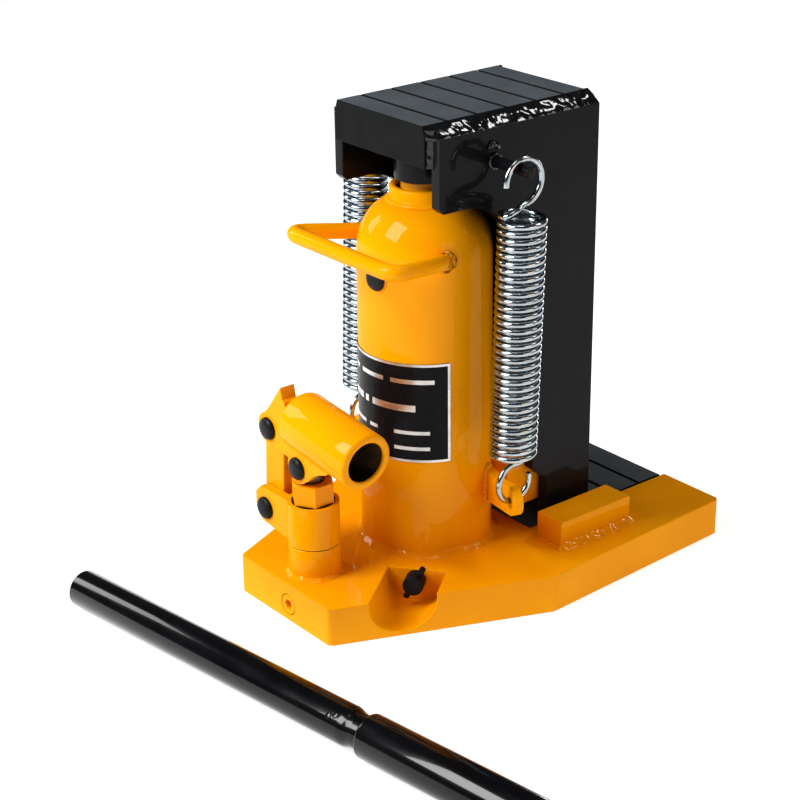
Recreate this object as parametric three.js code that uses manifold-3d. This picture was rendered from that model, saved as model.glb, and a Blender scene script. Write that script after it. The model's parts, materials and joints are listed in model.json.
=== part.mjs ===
// Hydraulic toe jack, in millimetres. +Z is up, +Y points along the toe, +X is to the right
// when the pump is in front. The origin is on the underside of the base, on the cylinder's axis.
import * as THREE from 'three';
import { mergeVertices } from 'three/addons/utils/BufferGeometryUtils.js';
import Module from 'manifold-3d';

const wasm = await Module();
wasm.setup();

// ---------- driving dimensions ----------
const GAP = 0.3;                       // running gap and weld gap between neighbours

const BASE = {
  top: 30.7, frontHalf: 56.5, frontY: -137.2, flareHalf: 122.9, flareY: 24.3,
  rearHalf: 114.3, rearY: 209.5, slotHalf: 53.5, slotY: 60, cornerCut: 3,
};
const GUIDE_BAR = { inner: 67.9, outer: 95, front: 53.8, rear: 127.2, height: 21.7 };

const CYL = { radius: 50.25, wall: 4.5, shoulder: 257, neckBase: 297, neckTop: 309, neckRadius: 25.5, bore: 21 };
const PRESSURE = { outer: 28, bore: 22.2, top: 268 };
const RAM = { radius: 17, pistonRadius: 21.6, pistonBottom: 34, pistonTop: 46, top: 313.7 };
const SADDLE = { radius: 22, bottom: 314 };

const HEAD = { half: 50.2, flatHalf: 47.9, bottom: 338, top: 368, front: -41, rear: 112.7 };
const SIDE = { inner: 50.5, outer: 59.5, top: 359.6, front: -35.1, rear: 116.7, earBottom: 305.4 };
const TOE = { half: 52.5, front: 82, rear: 209.5, bottom: 3, top: 31 };
const GROOVE = { pitch: 27.6, width: 2.4, depth: 2.2 };

// The return springs lean back slightly about their lower anchor; heights are measured up the spring.
const SPRING = { x: 88, y: 8.4, z: 83.3, leanDeg: 1.95, wire: 2.6, mean: 15.5, bottom: 34, top: 221.5 };
const LOOP = { radius: 16.5, height: 243.4 };              // upper loop, over the peg
const HOOK = { radius: 14.8, shift: 2, height: 14.8 };     // lower hook, through the lug
const PEG = { radius: 4, tip: 97, y: 15, z: 335.2 };
const LUG = { y: 10.4, z: 83.5, holeZ: 82.4, radius: 11.5, hole: 4.4, half: 3.5, turnDeg: 18 };

const HANDLE = { radius: 6, halfWidth: 62, frontY: -78, frontZ: 273, endX: 46.5, endY: -14.5, endZ: 264.5, bend: 14 };

const PLUG = { radius: 8.8, z: 248.5, angle: 0.12 };       // rubber filler plug, turned towards +X

const PUMP_Y = -107.8;
const PUMP = { radius: 19.4, bossTop: 55.3, collarTop: 88.6, nutTop: 105, bore: 9, nutAcross: 16.6 };
const PIN_LEVER = { x: 0, z: 118 };    // lever to plunger
const PIN_LINK_TOP = { x: -35.2, z: 137.8 };
const PIN_LINK_BOTTOM = { x: -38.8, z: 72.4 };
const PLUNGER = { eye: 8.4, flat: 7.4, slot: 1.5 };
const PIN = { shank: 4.7, head: 8.6, headHeight: 4 };
const LINK = { half: 7.6, width: 23 };
const CHEEK = { inner: 8, outer: 13 };
const HORN = { inner: -0.6, bottom: 160 };     // thick upper tip of the front cheek
const EAR = { inner: 8, outer: 15.5 };
const SOCKET = { outer: 21.6, bore: 15.4, length: 77, mouthX: 65.2, mouthZ: 141.5, pitchDeg: 6.7 };

const VALVE = { z: 24.5, knob: 7.7, stem: 4, outX: 49.2, outY: -49.7, pinAngleDeg: 62 };
const POCKET = { z: 26.2, radius: 22.4 };
const VALVE_DIR = new THREE.Vector3(0.605, -0.796, 0).normalize();
const BAR = { lower: 14.3, neck: 12.2, upper: 16, x: -113.4, y: -241.1, z: 14.4, shoulder: 282.7, joint: 299, total: 500 };
const BAR_DIR = new THREE.Vector3(0.9911, 0.1332, 0.0057).normalize();

// ---------- materials ----------
const material = (color, roughness, metalness) => new THREE.MeshStandardMaterial({ color, roughness, metalness });
const YELLOW = material(0xf2a200, 0.3, 0.1);
const BLACK = material(0x101114, 0.3, 0.1);
const STEEL = material(0x9a9da1, 0.35, 1);
const ZINC = material(0xc9ced2, 0.25, 1);
const RUBBER = material(0x151515, 0.8, 0);
const PLATE = material(0x1a1b1e, 0.4, 0.3);

// ---------- solids ----------
function toManifold(geometry) {
  const bare = geometry.clone();
  for (const name of Object.keys(bare.attributes)) {
    if (name !== 'position') bare.deleteAttribute(name);
  }
  const merged = mergeVertices(bare, 1e-4);
  return new wasm.Manifold(new wasm.Mesh({
    numProp: 3,
    vertProperties: new Float32Array(merged.attributes.position.array),
    triVerts: new Uint32Array(merged.index.array),
  }));
}

function toGeometry(manifold) {
  const mesh = manifold.getMesh();
  const geometry = new THREE.BufferGeometry();
  geometry.setAttribute('position', new THREE.BufferAttribute(new Float32Array(mesh.vertProperties), 3));
  geometry.setIndex(new THREE.BufferAttribute(new Uint32Array(mesh.triVerts), 1));
  geometry.computeVertexNormals();
  return geometry;
}

function cut(geometry, ...tools) {
  return toGeometry(tools.reduce((body, tool) => body.subtract(toManifold(tool)), toManifold(geometry)));
}

function join(geometry, ...others) {
  return toGeometry(others.reduce((body, other) => body.add(toManifold(other)), toManifold(geometry)));
}

function box([x0, x1], [y0, y1], [z0, z1]) {
  const geometry = new THREE.BoxGeometry(x1 - x0, y1 - y0, z1 - z0);
  return geometry.translate((x0 + x1) / 2, (y0 + y1) / 2, (z0 + z1) / 2);
}

// Revolves [radius, height] points about Z.
function lathe(points, segments = 40) {
  const profile = points.map(([r, z]) => new THREE.Vector2(r, z));
  return new THREE.LatheGeometry(profile, segments).rotateX(Math.PI / 2);
}

function disc(radius, z0, z1, segments = 32) {
  return lathe([[0, z0], [radius, z0], [radius, z1], [0, z1]], segments);
}

function ring(outer, inner, z0, z1, segments = 40) {
  return lathe([[inner, z0], [outer, z0], [outer, z1], [inner, z1], [inner, z0]], segments);
}

// Turns a shape built along +Z so that it points along a direction, and moves its origin.
function along(geometry, direction, origin = [0, 0, 0]) {
  const turn = new THREE.Quaternion().setFromUnitVectors(new THREE.Vector3(0, 0, 1), direction.clone().normalize());
  return geometry.applyQuaternion(turn).translate(...origin);
}

function outline(points) {
  const shape = new THREE.Shape();
  points.forEach(([u, v], i) => (i ? shape.lineTo(u, v) : shape.moveTo(u, v)));
  shape.closePath();
  return shape;
}

const extrude = (shape, depth, curveSegments = 10) =>
  new THREE.ExtrudeGeometry(shape, { depth, bevelEnabled: false, curveSegments });

// An outline in X and Y, pushed up from z0 to z1.
const prismZ = (shape, z0, z1) => extrude(shape, z1 - z0).translate(0, 0, z0);

// An outline in X and Z, pushed back from y0 to y1.
const prismY = (shape, y0, y1) => extrude(shape, y1 - y0).rotateX(Math.PI / 2).translate(0, y1, 0);

// An outline in Y and Z, pushed sideways from x0 to x1.
function prismX(shape, x0, x1) {
  const turn = new THREE.Matrix4().makeBasis(
    new THREE.Vector3(0, 1, 0), new THREE.Vector3(0, 0, 1), new THREE.Vector3(1, 0, 0));
  return extrude(shape, x1 - x0).applyMatrix4(turn).translate(x0, 0, 0);
}

// A round rod swept along a curve.
function rodAlong(curve, radius, steps, sides = 10) {
  const section = outline(Array.from({ length: sides }, (_, i) => {
    const angle = (i / sides) * 2 * Math.PI;
    return [radius * Math.cos(angle), radius * Math.sin(angle)];
  }));
  return new THREE.ExtrudeGeometry(section, { steps, bevelEnabled: false, extrudePath: curve });
}

// ---------- assembly ----------
const jack = new THREE.Group();

function add(parent, name, geometry, finish) {
  const mesh = new THREE.Mesh(geometry, finish);
  mesh.name = name;
  parent.add(mesh);
  return mesh;
}

// ---------- base ----------
function basePlate() {
  const { frontHalf, frontY, flareHalf, flareY, rearHalf, rearY, slotHalf, slotY, cornerCut: c } = BASE;
  const right = [
    [frontHalf - c, frontY], [frontHalf, frontY + c], [flareHalf, flareY - c], [flareHalf, flareY + c],
    [rearHalf, rearY - c], [rearHalf - c, rearY], [slotHalf, rearY], [slotHalf, slotY],
  ];
  const left = right.map(([x, y]) => [-x, y]).reverse();
  const plate = prismZ(outline([...right, ...left]), 0, BASE.top);
  const pocket = along(disc(POCKET.radius, 0, 90, 36), VALVE_DIR, [VALVE.outX, VALVE.outY, POCKET.z]);
  const stemBore = along(disc(VALVE.stem + GAP, -34, 1, 20), VALVE_DIR, [VALVE.outX, VALVE.outY, VALVE.z]);
  const frontBore = along(disc(8.3, -1, 13, 24), new THREE.Vector3(0, 1, 0), [4.6, frontY, 13.2]);
  const oilway = along(disc(5, 0, 33, 16), new THREE.Vector3(0, 1, 0), [4.6, frontY, 13.2]);
  const pumpWell = disc(PUMP.bore, 16, 40, 24).translate(0, PUMP_Y, 0);
  const seat = disc(4, 10, 20, 16).translate(2, PUMP_Y, 0);
  return cut(plate, pocket, stemBore, frontBore, oilway, pumpWell, seat);
}

function addBase() {
  add(jack, 'base_plate', basePlate(), YELLOW);
  for (const [side, sign] of [['left', -1], ['right', 1]]) {
    const x = [sign * GUIDE_BAR.inner, sign * GUIDE_BAR.outer].sort((a, b) => a - b);
    const z0 = BASE.top + GAP;
    const bar = box(x, [GUIDE_BAR.front, GUIDE_BAR.rear], [z0, BASE.top + GUIDE_BAR.height]);
    add(jack, `${side}_guide_bar`, bar, YELLOW);
  }
  const socket = along(disc(8, 0.3, 12, 24), new THREE.Vector3(0, 1, 0), [4.6, BASE.frontY, 13.2]);
  const hex = along(disc(4, -1, 6, 6), new THREE.Vector3(0, 1, 0), [4.6, BASE.frontY, 13.2]);
  add(jack, 'front_oil_plug', cut(socket, hex), YELLOW);
  const spring = along(ring(4.5, 2.9, 13.5, 22, 16), new THREE.Vector3(0, 1, 0), [4.6, BASE.frontY, 13.2]);
  add(jack, 'delivery_spring', spring, STEEL);
  const ball = new THREE.SphereGeometry(4.2, 14, 10).translate(4.6, BASE.frontY + 26.8, 13.2);
  add(jack, 'delivery_ball', ball, STEEL);
}

// ---------- reservoir and ram ----------
function domeProfile(radius, wallInset) {
  const steps = 7;
  const top = CYL.neckRadius + 2.5 - wallInset;
  const rise = CYL.neckBase - CYL.shoulder - wallInset / 2;
  return Array.from({ length: steps + 1 }, (_, i) => {
    const angle = (i / steps) * (Math.PI / 2) * 0.86;
    const span = (radius - top) / (1 - Math.cos(Math.PI / 2 * 0.86));
    return [radius - span * (1 - Math.cos(angle)), CYL.shoulder + rise * Math.sin(angle) / Math.sin(Math.PI / 2 * 0.86)];
  });
}

function addReservoir() {
  const inner = CYL.radius - CYL.wall;
  const profile = [
    [inner, BASE.top + GAP], [CYL.radius, BASE.top + GAP], ...domeProfile(CYL.radius, 0),
    [CYL.neckRadius, CYL.neckBase + 2], [CYL.neckRadius, CYL.neckTop], [CYL.bore, CYL.neckTop],
    [CYL.bore, CYL.neckBase - 4], ...domeProfile(inner, CYL.wall).reverse(), [inner, BASE.top + GAP],
  ];
  add(jack, 'reservoir_tube', lathe(profile, 40), YELLOW);
  const z0 = BASE.top + GAP;
  add(jack, 'pressure_cylinder', ring(PRESSURE.outer, PRESSURE.bore, z0, PRESSURE.top, 32), STEEL);
  const gland = lathe([
    [RAM.radius + GAP, PRESSURE.top + GAP], [27.5, PRESSURE.top + GAP], [27.5, 280], [20.6, 283], [20.6, 304],
    [RAM.radius + GAP, 304], [RAM.radius + GAP, PRESSURE.top + GAP],
  ], 32);
  add(jack, 'top_gland', gland, STEEL);
  add(jack, 'ram_wiper', ring(20.6, RAM.radius + 0.35, 304.3, 306.5, 32), RUBBER);
  const block = box([-49, 49], [44, 81], [50.5, 104]);
  add(jack, 'guide_block', cut(block, disc(CYL.radius + GAP, 40, 110, 48)), YELLOW);
}

function addCarryHandle() {
  const { halfWidth: w, frontY, frontZ, endX, endY, endZ, bend } = HANDLE;
  const end = new THREE.Vector3(endX, endY, endZ);
  const corner = new THREE.Vector3(w, frontY, frontZ);
  const path = new THREE.CurvePath();
  const legIn = corner.clone().lerp(end, bend / corner.distanceTo(end));
  const barIn = new THREE.Vector3(w - bend, frontY, frontZ);
  const mirror = (v) => new THREE.Vector3(-v.x, v.y, v.z);
  path.add(new THREE.LineCurve3(end, legIn));
  path.add(new THREE.QuadraticBezierCurve3(legIn, corner, barIn));
  path.add(new THREE.LineCurve3(barIn, mirror(barIn)));
  path.add(new THREE.QuadraticBezierCurve3(mirror(barIn), mirror(corner), mirror(legIn)));
  path.add(new THREE.LineCurve3(mirror(legIn), mirror(end)));
  const rod = rodAlong(path, HANDLE.radius, 34, 10);
  const body = disc(CYL.radius + GAP, 200, 330, 48);
  add(jack, 'carry_handle', cut(rod, body), YELLOW);
}

function addReservoirFittings() {
  const faceY = -CYL.radius;
  const { radius } = PLUG;
  const plug = lathe([[0, -6], [radius, -6], [radius, 3], [radius - 2.5, 4.6], [0, 5.2]], 24);
  const out = new THREE.Vector3(0, -1, 0);
  const cap = cut(along(plug, out, [0, faceY, PLUG.z]), disc(CYL.radius + GAP, 225, 275, 48));
  add(jack, 'filler_plug', cap.rotateZ(PLUG.angle), RUBBER);
  const label = ring(CYL.radius + 1.1, CYL.radius + GAP, 109.5, 187.4, 60);
  const frontSector = new THREE.Shape();
  const half = THREE.MathUtils.degToRad(71.3);
  frontSector.moveTo(0, 0);
  frontSector.lineTo(-80 * Math.sin(half), -80 * Math.cos(half));
  frontSector.lineTo(0, -260);
  frontSector.lineTo(80 * Math.sin(half), -80 * Math.cos(half));
  const sector = toManifold(prismZ(frontSector, 100, 200));
  add(jack, 'rating_plate', toGeometry(toManifold(label).intersect(sector)), PLATE);
}

// ---------- springs and their anchors ----------
// The lug's plate, in its own frame: X runs outwards from the hole, Z is up.
function springLug() {
  const shape = new THREE.Shape();
  shape.moveTo(-52, 7);
  shape.lineTo(-18, 7);
  shape.absarc(0, 0, LUG.radius, 1.9, -Math.PI / 2, true);
  shape.lineTo(-52, -20);
  shape.closePath();
  const turn = THREE.MathUtils.degToRad(-LUG.turnDeg);
  const plate = prismY(shape, -LUG.half, LUG.half).rotateZ(turn).translate(SPRING.x, LUG.y, LUG.z);
  const hole = along(disc(LUG.hole, -15, 25, 20), new THREE.Vector3(0, 1, 0), [SPRING.x, 5, LUG.holeZ]);
  return cut(plate, hole, disc(CYL.radius + GAP, 50, 120, 40));
}

// Points on a circle in the spring's loop plane, from one angle to another.
function arcPoints(radius, [u, v], fromDeg, toDeg, count) {
  return Array.from({ length: count + 1 }, (_, i) => {
    const angle = THREE.MathUtils.degToRad(fromDeg + (toDeg - fromDeg) * i / count);
    return new THREE.Vector3(0, u + radius * Math.cos(angle), v + radius * Math.sin(angle));
  });
}

function springSolid() {
  const { wire, mean, bottom, top, x, y, z } = SPRING;
  const coil = ring(mean + wire, mean - wire, bottom, top, 24);
  const loopPoints = [
    new THREE.Vector3(0, mean, top - 2), new THREE.Vector3(0, mean + 0.5, top + 8),
    ...arcPoints(LOOP.radius, [0, LOOP.height], -15, 190, 10),
  ];
  const hookPoints = [
    new THREE.Vector3(0, -mean, bottom + 2), new THREE.Vector3(0, -mean + 0.8, bottom - 8),
    ...arcPoints(HOOK.radius, [HOOK.shift, HOOK.height], 190, 360, 8),
  ];
  const loop = rodAlong(new THREE.CatmullRomCurve3(loopPoints), wire, 22, 8);
  const hook = rodAlong(new THREE.CatmullRomCurve3(hookPoints), wire, 18, 8);
  return join(coil, loop, hook).rotateX(THREE.MathUtils.degToRad(-SPRING.leanDeg)).translate(x, y, z);
}

function addSprings() {
  const lug = springLug();
  const peg = along(disc(PEG.radius, SIDE.outer + GAP, PEG.tip, 16), new THREE.Vector3(1, 0, 0), [0, PEG.y, PEG.z]);
  const spring = springSolid();
  for (const [side, sign] of [['left', -1], ['right', 1]]) {
    const placed = (g) => (sign > 0 ? g : toGeometry(toManifold(g).mirror([1, 0, 0])));
    add(jack, `${side}_spring_lug`, placed(lug), YELLOW);
    add(jack, `${side}_spring_peg`, placed(peg), BLACK);
    add(jack, `${side}_return_spring`, placed(spring), ZINC);
  }
}

// ---------- carriage: head, side plates, rear plate, toe ----------
function grooves(positions, half, top) {
  return positions.map((y) => box([-half, half], [y - GROOVE.width / 2, y + GROOVE.width / 2], [top - GROOVE.depth, top + 1]));
}

function headPlate() {
  const { half, flatHalf, bottom, top, front, rear } = HEAD;
  const bevel = half - flatHalf;
  const shape = outline([
    [-half, bottom], [half, bottom], [half, top - 3 * bevel], [flatHalf, top], [-flatHalf, top], [-half, top - 3 * bevel],
  ]);
  const middle = (front + rear) / 2;
  const places = [-2, -1, 0, 1, 2].map((i) => middle + i * GROOVE.pitch);
  return cut(prismY(shape, front, rear), ...grooves(places, half + 1, top));
}

function sideOutline() {
  const fillet = 50;
  const shape = new THREE.Shape();
  shape.moveTo(SIDE.front, SIDE.top);
  shape.lineTo(SIDE.front, SIDE.earBottom + 4);
  shape.lineTo(SIDE.front + 4, SIDE.earBottom);
  shape.lineTo(-14, SIDE.earBottom);
  shape.absarc(-14, SIDE.earBottom - fillet, fillet, Math.PI / 2, 0, true);
  shape.lineTo(56, 110);
  shape.lineTo(56, 84);
  shape.lineTo(71, 71);
  shape.lineTo(71, TOE.top + GAP);
  shape.lineTo(SIDE.rear, TOE.top + GAP);
  shape.lineTo(SIDE.rear, SIDE.top);
  shape.closePath();
  return shape;
}

function addCarriage() {
  add(jack, 'head_plate', headPlate(), BLACK);
  add(jack, 'right_side_plate', prismX(sideOutline(), SIDE.inner, SIDE.outer), BLACK);
  add(jack, 'left_side_plate', prismX(sideOutline(), -SIDE.outer, -SIDE.inner), BLACK);
  const rear = box([-HEAD.half, HEAD.half], [SIDE.rear - 10, SIDE.rear - 0.5], [TOE.top + GAP, HEAD.bottom - GAP]);
  add(jack, 'rear_plate', rear, BLACK);
  const toeShape = outline([
    [TOE.front, TOE.bottom], [TOE.rear, TOE.bottom], [TOE.rear, TOE.top - 5], [TOE.rear - 5, TOE.top], [TOE.front, TOE.top],
  ]);
  const toe = prismX(toeShape, -TOE.half, TOE.half);
  const places = [1, 2].map((i) => TOE.rear - 1 - i * 28.2);
  add(jack, 'toe_jaw', cut(toe, ...grooves(places, TOE.half + 1, TOE.top)), BLACK);
}

function addRam() {
  const piston = lathe([
    [0, RAM.pistonBottom], [RAM.pistonRadius, RAM.pistonBottom], [RAM.pistonRadius, 38], [18, 38], [18, 42],
    [RAM.pistonRadius, 42], [RAM.pistonRadius, RAM.pistonTop], [0, RAM.pistonTop],
  ], 32);
  add(jack, 'piston', piston, STEEL);
  add(jack, 'piston_seal', ring(21.9, 18 + GAP, 38 + GAP, 42 - GAP, 32), RUBBER);
  add(jack, 'ram', disc(RAM.radius, RAM.pistonTop + GAP, RAM.top, 32), YELLOW);
  add(jack, 'ram_saddle', disc(SADDLE.radius, SADDLE.bottom, HEAD.bottom - GAP, 32), BLACK);
}

// ---------- pump, link and lever ----------
const pump = new THREE.Group();
pump.position.set(0, PUMP_Y, 0);
jack.add(pump);

function collar() {
  const body = ring(PUMP.radius, PUMP.bore + 3, PUMP.bossTop + GAP, PUMP.collarTop, 30);
  const ear = new THREE.Shape();
  ear.moveTo(-10, 56.5);
  ear.absarc(PIN_LINK_BOTTOM.x, PIN_LINK_BOTTOM.z, 12.7, -Math.PI * 0.5, -Math.PI, true);
  ear.lineTo(-51.2, 82);
  ear.lineTo(-45, 88.3);
  ear.lineTo(-10, 88.3);
  ear.closePath();
  const block = prismY(ear, -EAR.outer, EAR.outer);
  const slot = box([-60, -PUMP.radius + 0.5], [-EAR.inner, EAR.inner], [50, 100]);
  const bore = disc(PUMP.bore + 3, 50, 100, 30);
  const pin = along(disc(PIN.shank + GAP, -20, 20, 20), new THREE.Vector3(0, 1, 0), [PIN_LINK_BOTTOM.x, 0, PIN_LINK_BOTTOM.z]);
  return cut(join(body, block), slot, bore, pin);
}

// A pivot pin along Y: domed head in front, a plain tail behind.
function pivotPin(tail, head) {
  const profile = [
    [0, tail], [PIN.shank, tail], [PIN.shank, -head - GAP], [PIN.head, -head - GAP], [PIN.head, -head - 2.2],
    [PIN.head - 1.6, -head - PIN.headHeight], [0, -head - PIN.headHeight - 0.8],
  ];
  return lathe(profile.map(([r, y]) => [r, -y]), 20).rotateX(Math.PI / 2);
}

function addPin(parent, name, place, outerFace) {
  add(parent, name, pivotPin(outerFace + 4, outerFace), BLACK).position.set(place.x, 0, place.z);
  const clip = along(ring(PIN.shank + 3, PIN.shank + GAP, 0, 1.6, 20), new THREE.Vector3(0, 1, 0), [0, outerFace + GAP, 0]);
  add(parent, `${name}_clip`, clip, STEEL).position.set(place.x, 0, place.z);
}

function addPump() {
  const boss = ring(PUMP.radius, PUMP.bore, BASE.top + GAP, PUMP.bossTop, 30);
  add(pump, 'pump_boss', boss, YELLOW);
  add(pump, 'pump_collar', collar(), YELLOW);
  const nut = join(
    disc(PUMP.nutAcross, PUMP.collarTop + GAP, PUMP.nutTop, 6).rotateZ(Math.PI / 6),
    disc(PUMP.bore + 2.7, 70, PUMP.nutTop, 28));
  add(pump, 'pump_gland_nut', cut(nut, disc(8.3, 60, 120, 24)), YELLOW);
  add(pump, 'plunger_seal', ring(PUMP.bore + 2.7, 8.1, 66, 69.7, 24), RUBBER);
  addPin(pump, 'ear_pin', PIN_LINK_BOTTOM, EAR.outer);
}

// The plunger ends in an eye with a slotted hole, so the pin can shift as the lever swings.
function plunger() {
  const { eye, flat, slot } = PLUNGER;
  const across = (radius, half, x) =>
    along(disc(radius, -half, half, 24), new THREE.Vector3(0, 1, 0), [x, 0, PIN_LEVER.z]);
  const rod = disc(8, 34, PIN_LEVER.z, 24);
  const flats = [-1, 1].map((s) => box([-10, 10], s < 0 ? [-12, -flat] : [flat, 12], [PIN_LEVER.z - 12.7, 140]));
  const slotRadius = PIN.shank + 0.5;
  const middle = box([-slot, slot], [-12, 12], [PIN_LEVER.z - slotRadius, PIN_LEVER.z + slotRadius]);
  const hole = join(across(slotRadius, 12, -slot), across(slotRadius, 12, slot), middle);
  return cut(join(rod, across(eye, flat, 0)), ...flats, hole);
}

function linkBar() {
  const dx = PIN_LINK_TOP.x - PIN_LINK_BOTTOM.x;
  const dz = PIN_LINK_TOP.z - PIN_LINK_BOTTOM.z;
  const length = Math.hypot(dx, dz);
  const half = LINK.width / 2;
  const shape = new THREE.Shape();
  shape.absarc(0, 0, half, Math.PI, 2 * Math.PI, false);
  shape.absarc(0, length, half, 0, Math.PI, false);
  shape.closePath();
  const bar = prismY(shape, -LINK.half, LINK.half);
  const holes = [0, length].map((z) =>
    along(disc(PIN.shank + GAP, -10, 10, 20), new THREE.Vector3(0, 1, 0), [0, 0, z]));
  return cut(bar, ...holes).rotateY(Math.atan2(dx, dz)).translate(PIN_LINK_BOTTOM.x, 0, PIN_LINK_BOTTOM.z);
}

function cheekOutline() {
  const shape = new THREE.Shape();
  shape.moveTo(-34.5, 154.3);
  shape.absarc(PIN_LINK_TOP.x, PIN_LINK_TOP.z, 12.5, Math.PI * 0.62, Math.PI * 1.42, false);
  shape.lineTo(-11, PIN_LEVER.z + 5);
  shape.absarc(PIN_LEVER.x, PIN_LEVER.z, 12, Math.PI * 0.93, Math.PI * 1.75, false);
  shape.quadraticCurveTo(17, 118, 34, 125);
  shape.lineTo(34, 140);
  shape.lineTo(-14, 163);
  shape.closePath();
  return shape;
}

function hornOutline() {
  return outline([[-34.5, 154.3], [-18.2, 175.5], [-16.3, 166.7], [-14, 163], [-20, 150], [-32, 150]]);
}

// Lays a shape built along Z onto the socket's axis, with its origin at the mouth.
function placeOnSocket(geometry) {
  const turn = THREE.MathUtils.degToRad(90 + SOCKET.pitchDeg);
  return geometry.rotateY(turn).translate(SOCKET.mouthX, 0, SOCKET.mouthZ);
}

function addLever() {
  add(pump, 'pump_plunger', plunger(), STEEL);
  add(pump, 'pump_link', linkBar(), YELLOW);
  add(pump, 'lever_socket', placeOnSocket(ring(SOCKET.outer, SOCKET.bore, -SOCKET.length, 0, 36)), YELLOW);
  const clear = placeOnSocket(disc(SOCKET.outer + GAP, -SOCKET.length - 1, 5, 36));
  const holes = [PIN_LEVER, PIN_LINK_TOP].map((p) =>
    along(disc(PIN.shank + GAP, -20, 20, 20), new THREE.Vector3(0, 1, 0), [p.x, 0, p.z]));
  const thick = cut(prismY(hornOutline(), -CHEEK.outer, HORN.inner), box([-50, 0], [-CHEEK.inner, 5], [140, HORN.bottom]));
  const front = join(prismY(cheekOutline(), -CHEEK.outer, -CHEEK.inner), thick);
  const rear = prismY(cheekOutline(), CHEEK.inner, CHEEK.outer);
  add(pump, 'lever_cheek_front', cut(front, clear, ...holes), YELLOW);
  add(pump, 'lever_cheek_rear', cut(rear, clear, ...holes), YELLOW);
  addPin(pump, 'link_pin', PIN_LINK_TOP, CHEEK.outer);
  addPin(pump, 'plunger_pin', PIN_LEVER, CHEEK.outer);
}

// ---------- release valve ----------
function addReleaseValve() {
  const valve = new THREE.Group();
  valve.position.set(VALVE.outX, VALVE.outY, VALVE.z);
  valve.quaternion.setFromUnitVectors(new THREE.Vector3(0, 0, 1), VALVE_DIR);
  jack.add(valve);
  const { stem, knob } = VALVE;
  const turned = lathe([[0, -26], [stem, -26], [stem, 3], [knob, 3.4], [knob, 15], [knob - 1.4, 16.4], [0, 16.4]], 24);
  const pinLine = new THREE.Vector3(-VALVE_DIR.y, VALVE_DIR.x, 0)
    .applyAxisAngle(new THREE.Vector3(0, 0, 1), THREE.MathUtils.degToRad(VALVE.pinAngleDeg));
  add(valve, 'release_valve_stem', cut(turned, along(disc(2.6, -12, 12, 12), pinLine, [0, 0, 9.5])), BLACK);
  add(valve, 'release_cross_pin', along(disc(2.3, -14.5, 14.5, 12), pinLine, [0, 0, 9.5]), BLACK);
  add(valve, 'release_ball', new THREE.SphereGeometry(3.6, 12, 8).translate(0, 0, -30), STEEL);
}

// ---------- loose pump handle ----------
function addPumpHandle() {
  const { lower, neck, upper, shoulder, joint, total } = BAR;
  const bar = new THREE.Group();
  bar.position.set(BAR.x, BAR.y, BAR.z);
  bar.quaternion.setFromUnitVectors(new THREE.Vector3(0, 0, 1), BAR_DIR);
  jack.add(bar);
  const lowerTube = lathe([
    [lower - 2.5, 0], [lower - 1, 0], [lower, 1.2], [lower, shoulder], [neck, shoulder + 7], [neck, joint + 40],
    [neck - 2.5, joint + 40], [neck - 2.5, shoulder + 5], [lower - 2.5, shoulder - 2], [lower - 2.5, 0],
  ], 28);
  const upperTube = lathe([
    [neck + GAP, joint], [upper - 1.2, joint], [upper, joint + 1.2], [upper, total], [upper - 2, total],
    [upper - 2, joint + 6], [neck + GAP, joint + 6], [neck + GAP, joint],
  ], 28);
  add(bar, 'handle_lower_tube', lowerTube, BLACK);
  add(bar, 'handle_upper_tube', upperTube, BLACK);
}

addBase();
addReservoir();
addCarryHandle();
addReservoirFittings();
addSprings();
addCarriage();
addRam();
addPump();
addLever();
addReleaseValve();
addPumpHandle();

export default jack;
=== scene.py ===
"""Looks of a hydraulic toe jack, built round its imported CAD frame.

Lengths are in millimetres in this file and become metres in the meshes. +Z is up, +Y points along
the toe, and the origin is on the floor under the middle of the oil reservoir.
"""

import json
import math

import bmesh
import bpy
from mathutils import Matrix, Vector, noise


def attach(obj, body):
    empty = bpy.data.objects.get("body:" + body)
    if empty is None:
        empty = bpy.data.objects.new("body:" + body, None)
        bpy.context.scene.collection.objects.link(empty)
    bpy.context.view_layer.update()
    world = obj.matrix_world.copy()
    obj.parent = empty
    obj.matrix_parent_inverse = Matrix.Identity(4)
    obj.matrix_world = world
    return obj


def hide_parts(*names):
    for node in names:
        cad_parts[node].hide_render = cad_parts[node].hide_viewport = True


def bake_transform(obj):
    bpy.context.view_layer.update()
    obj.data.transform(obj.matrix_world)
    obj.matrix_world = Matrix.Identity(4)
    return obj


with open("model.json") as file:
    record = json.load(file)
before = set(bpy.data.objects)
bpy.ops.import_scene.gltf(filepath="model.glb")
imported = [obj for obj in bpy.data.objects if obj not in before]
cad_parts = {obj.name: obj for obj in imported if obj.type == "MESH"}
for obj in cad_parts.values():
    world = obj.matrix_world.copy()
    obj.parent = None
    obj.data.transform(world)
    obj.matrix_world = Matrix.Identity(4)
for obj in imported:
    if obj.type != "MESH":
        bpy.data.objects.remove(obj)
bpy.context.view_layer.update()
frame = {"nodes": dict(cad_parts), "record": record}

MM = 0.001
X, Y, Z = Vector((1, 0, 0)), Vector((0, 1, 0)), Vector((0, 0, 1))
SIDES = (("left", -1), ("right", 1))

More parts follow.
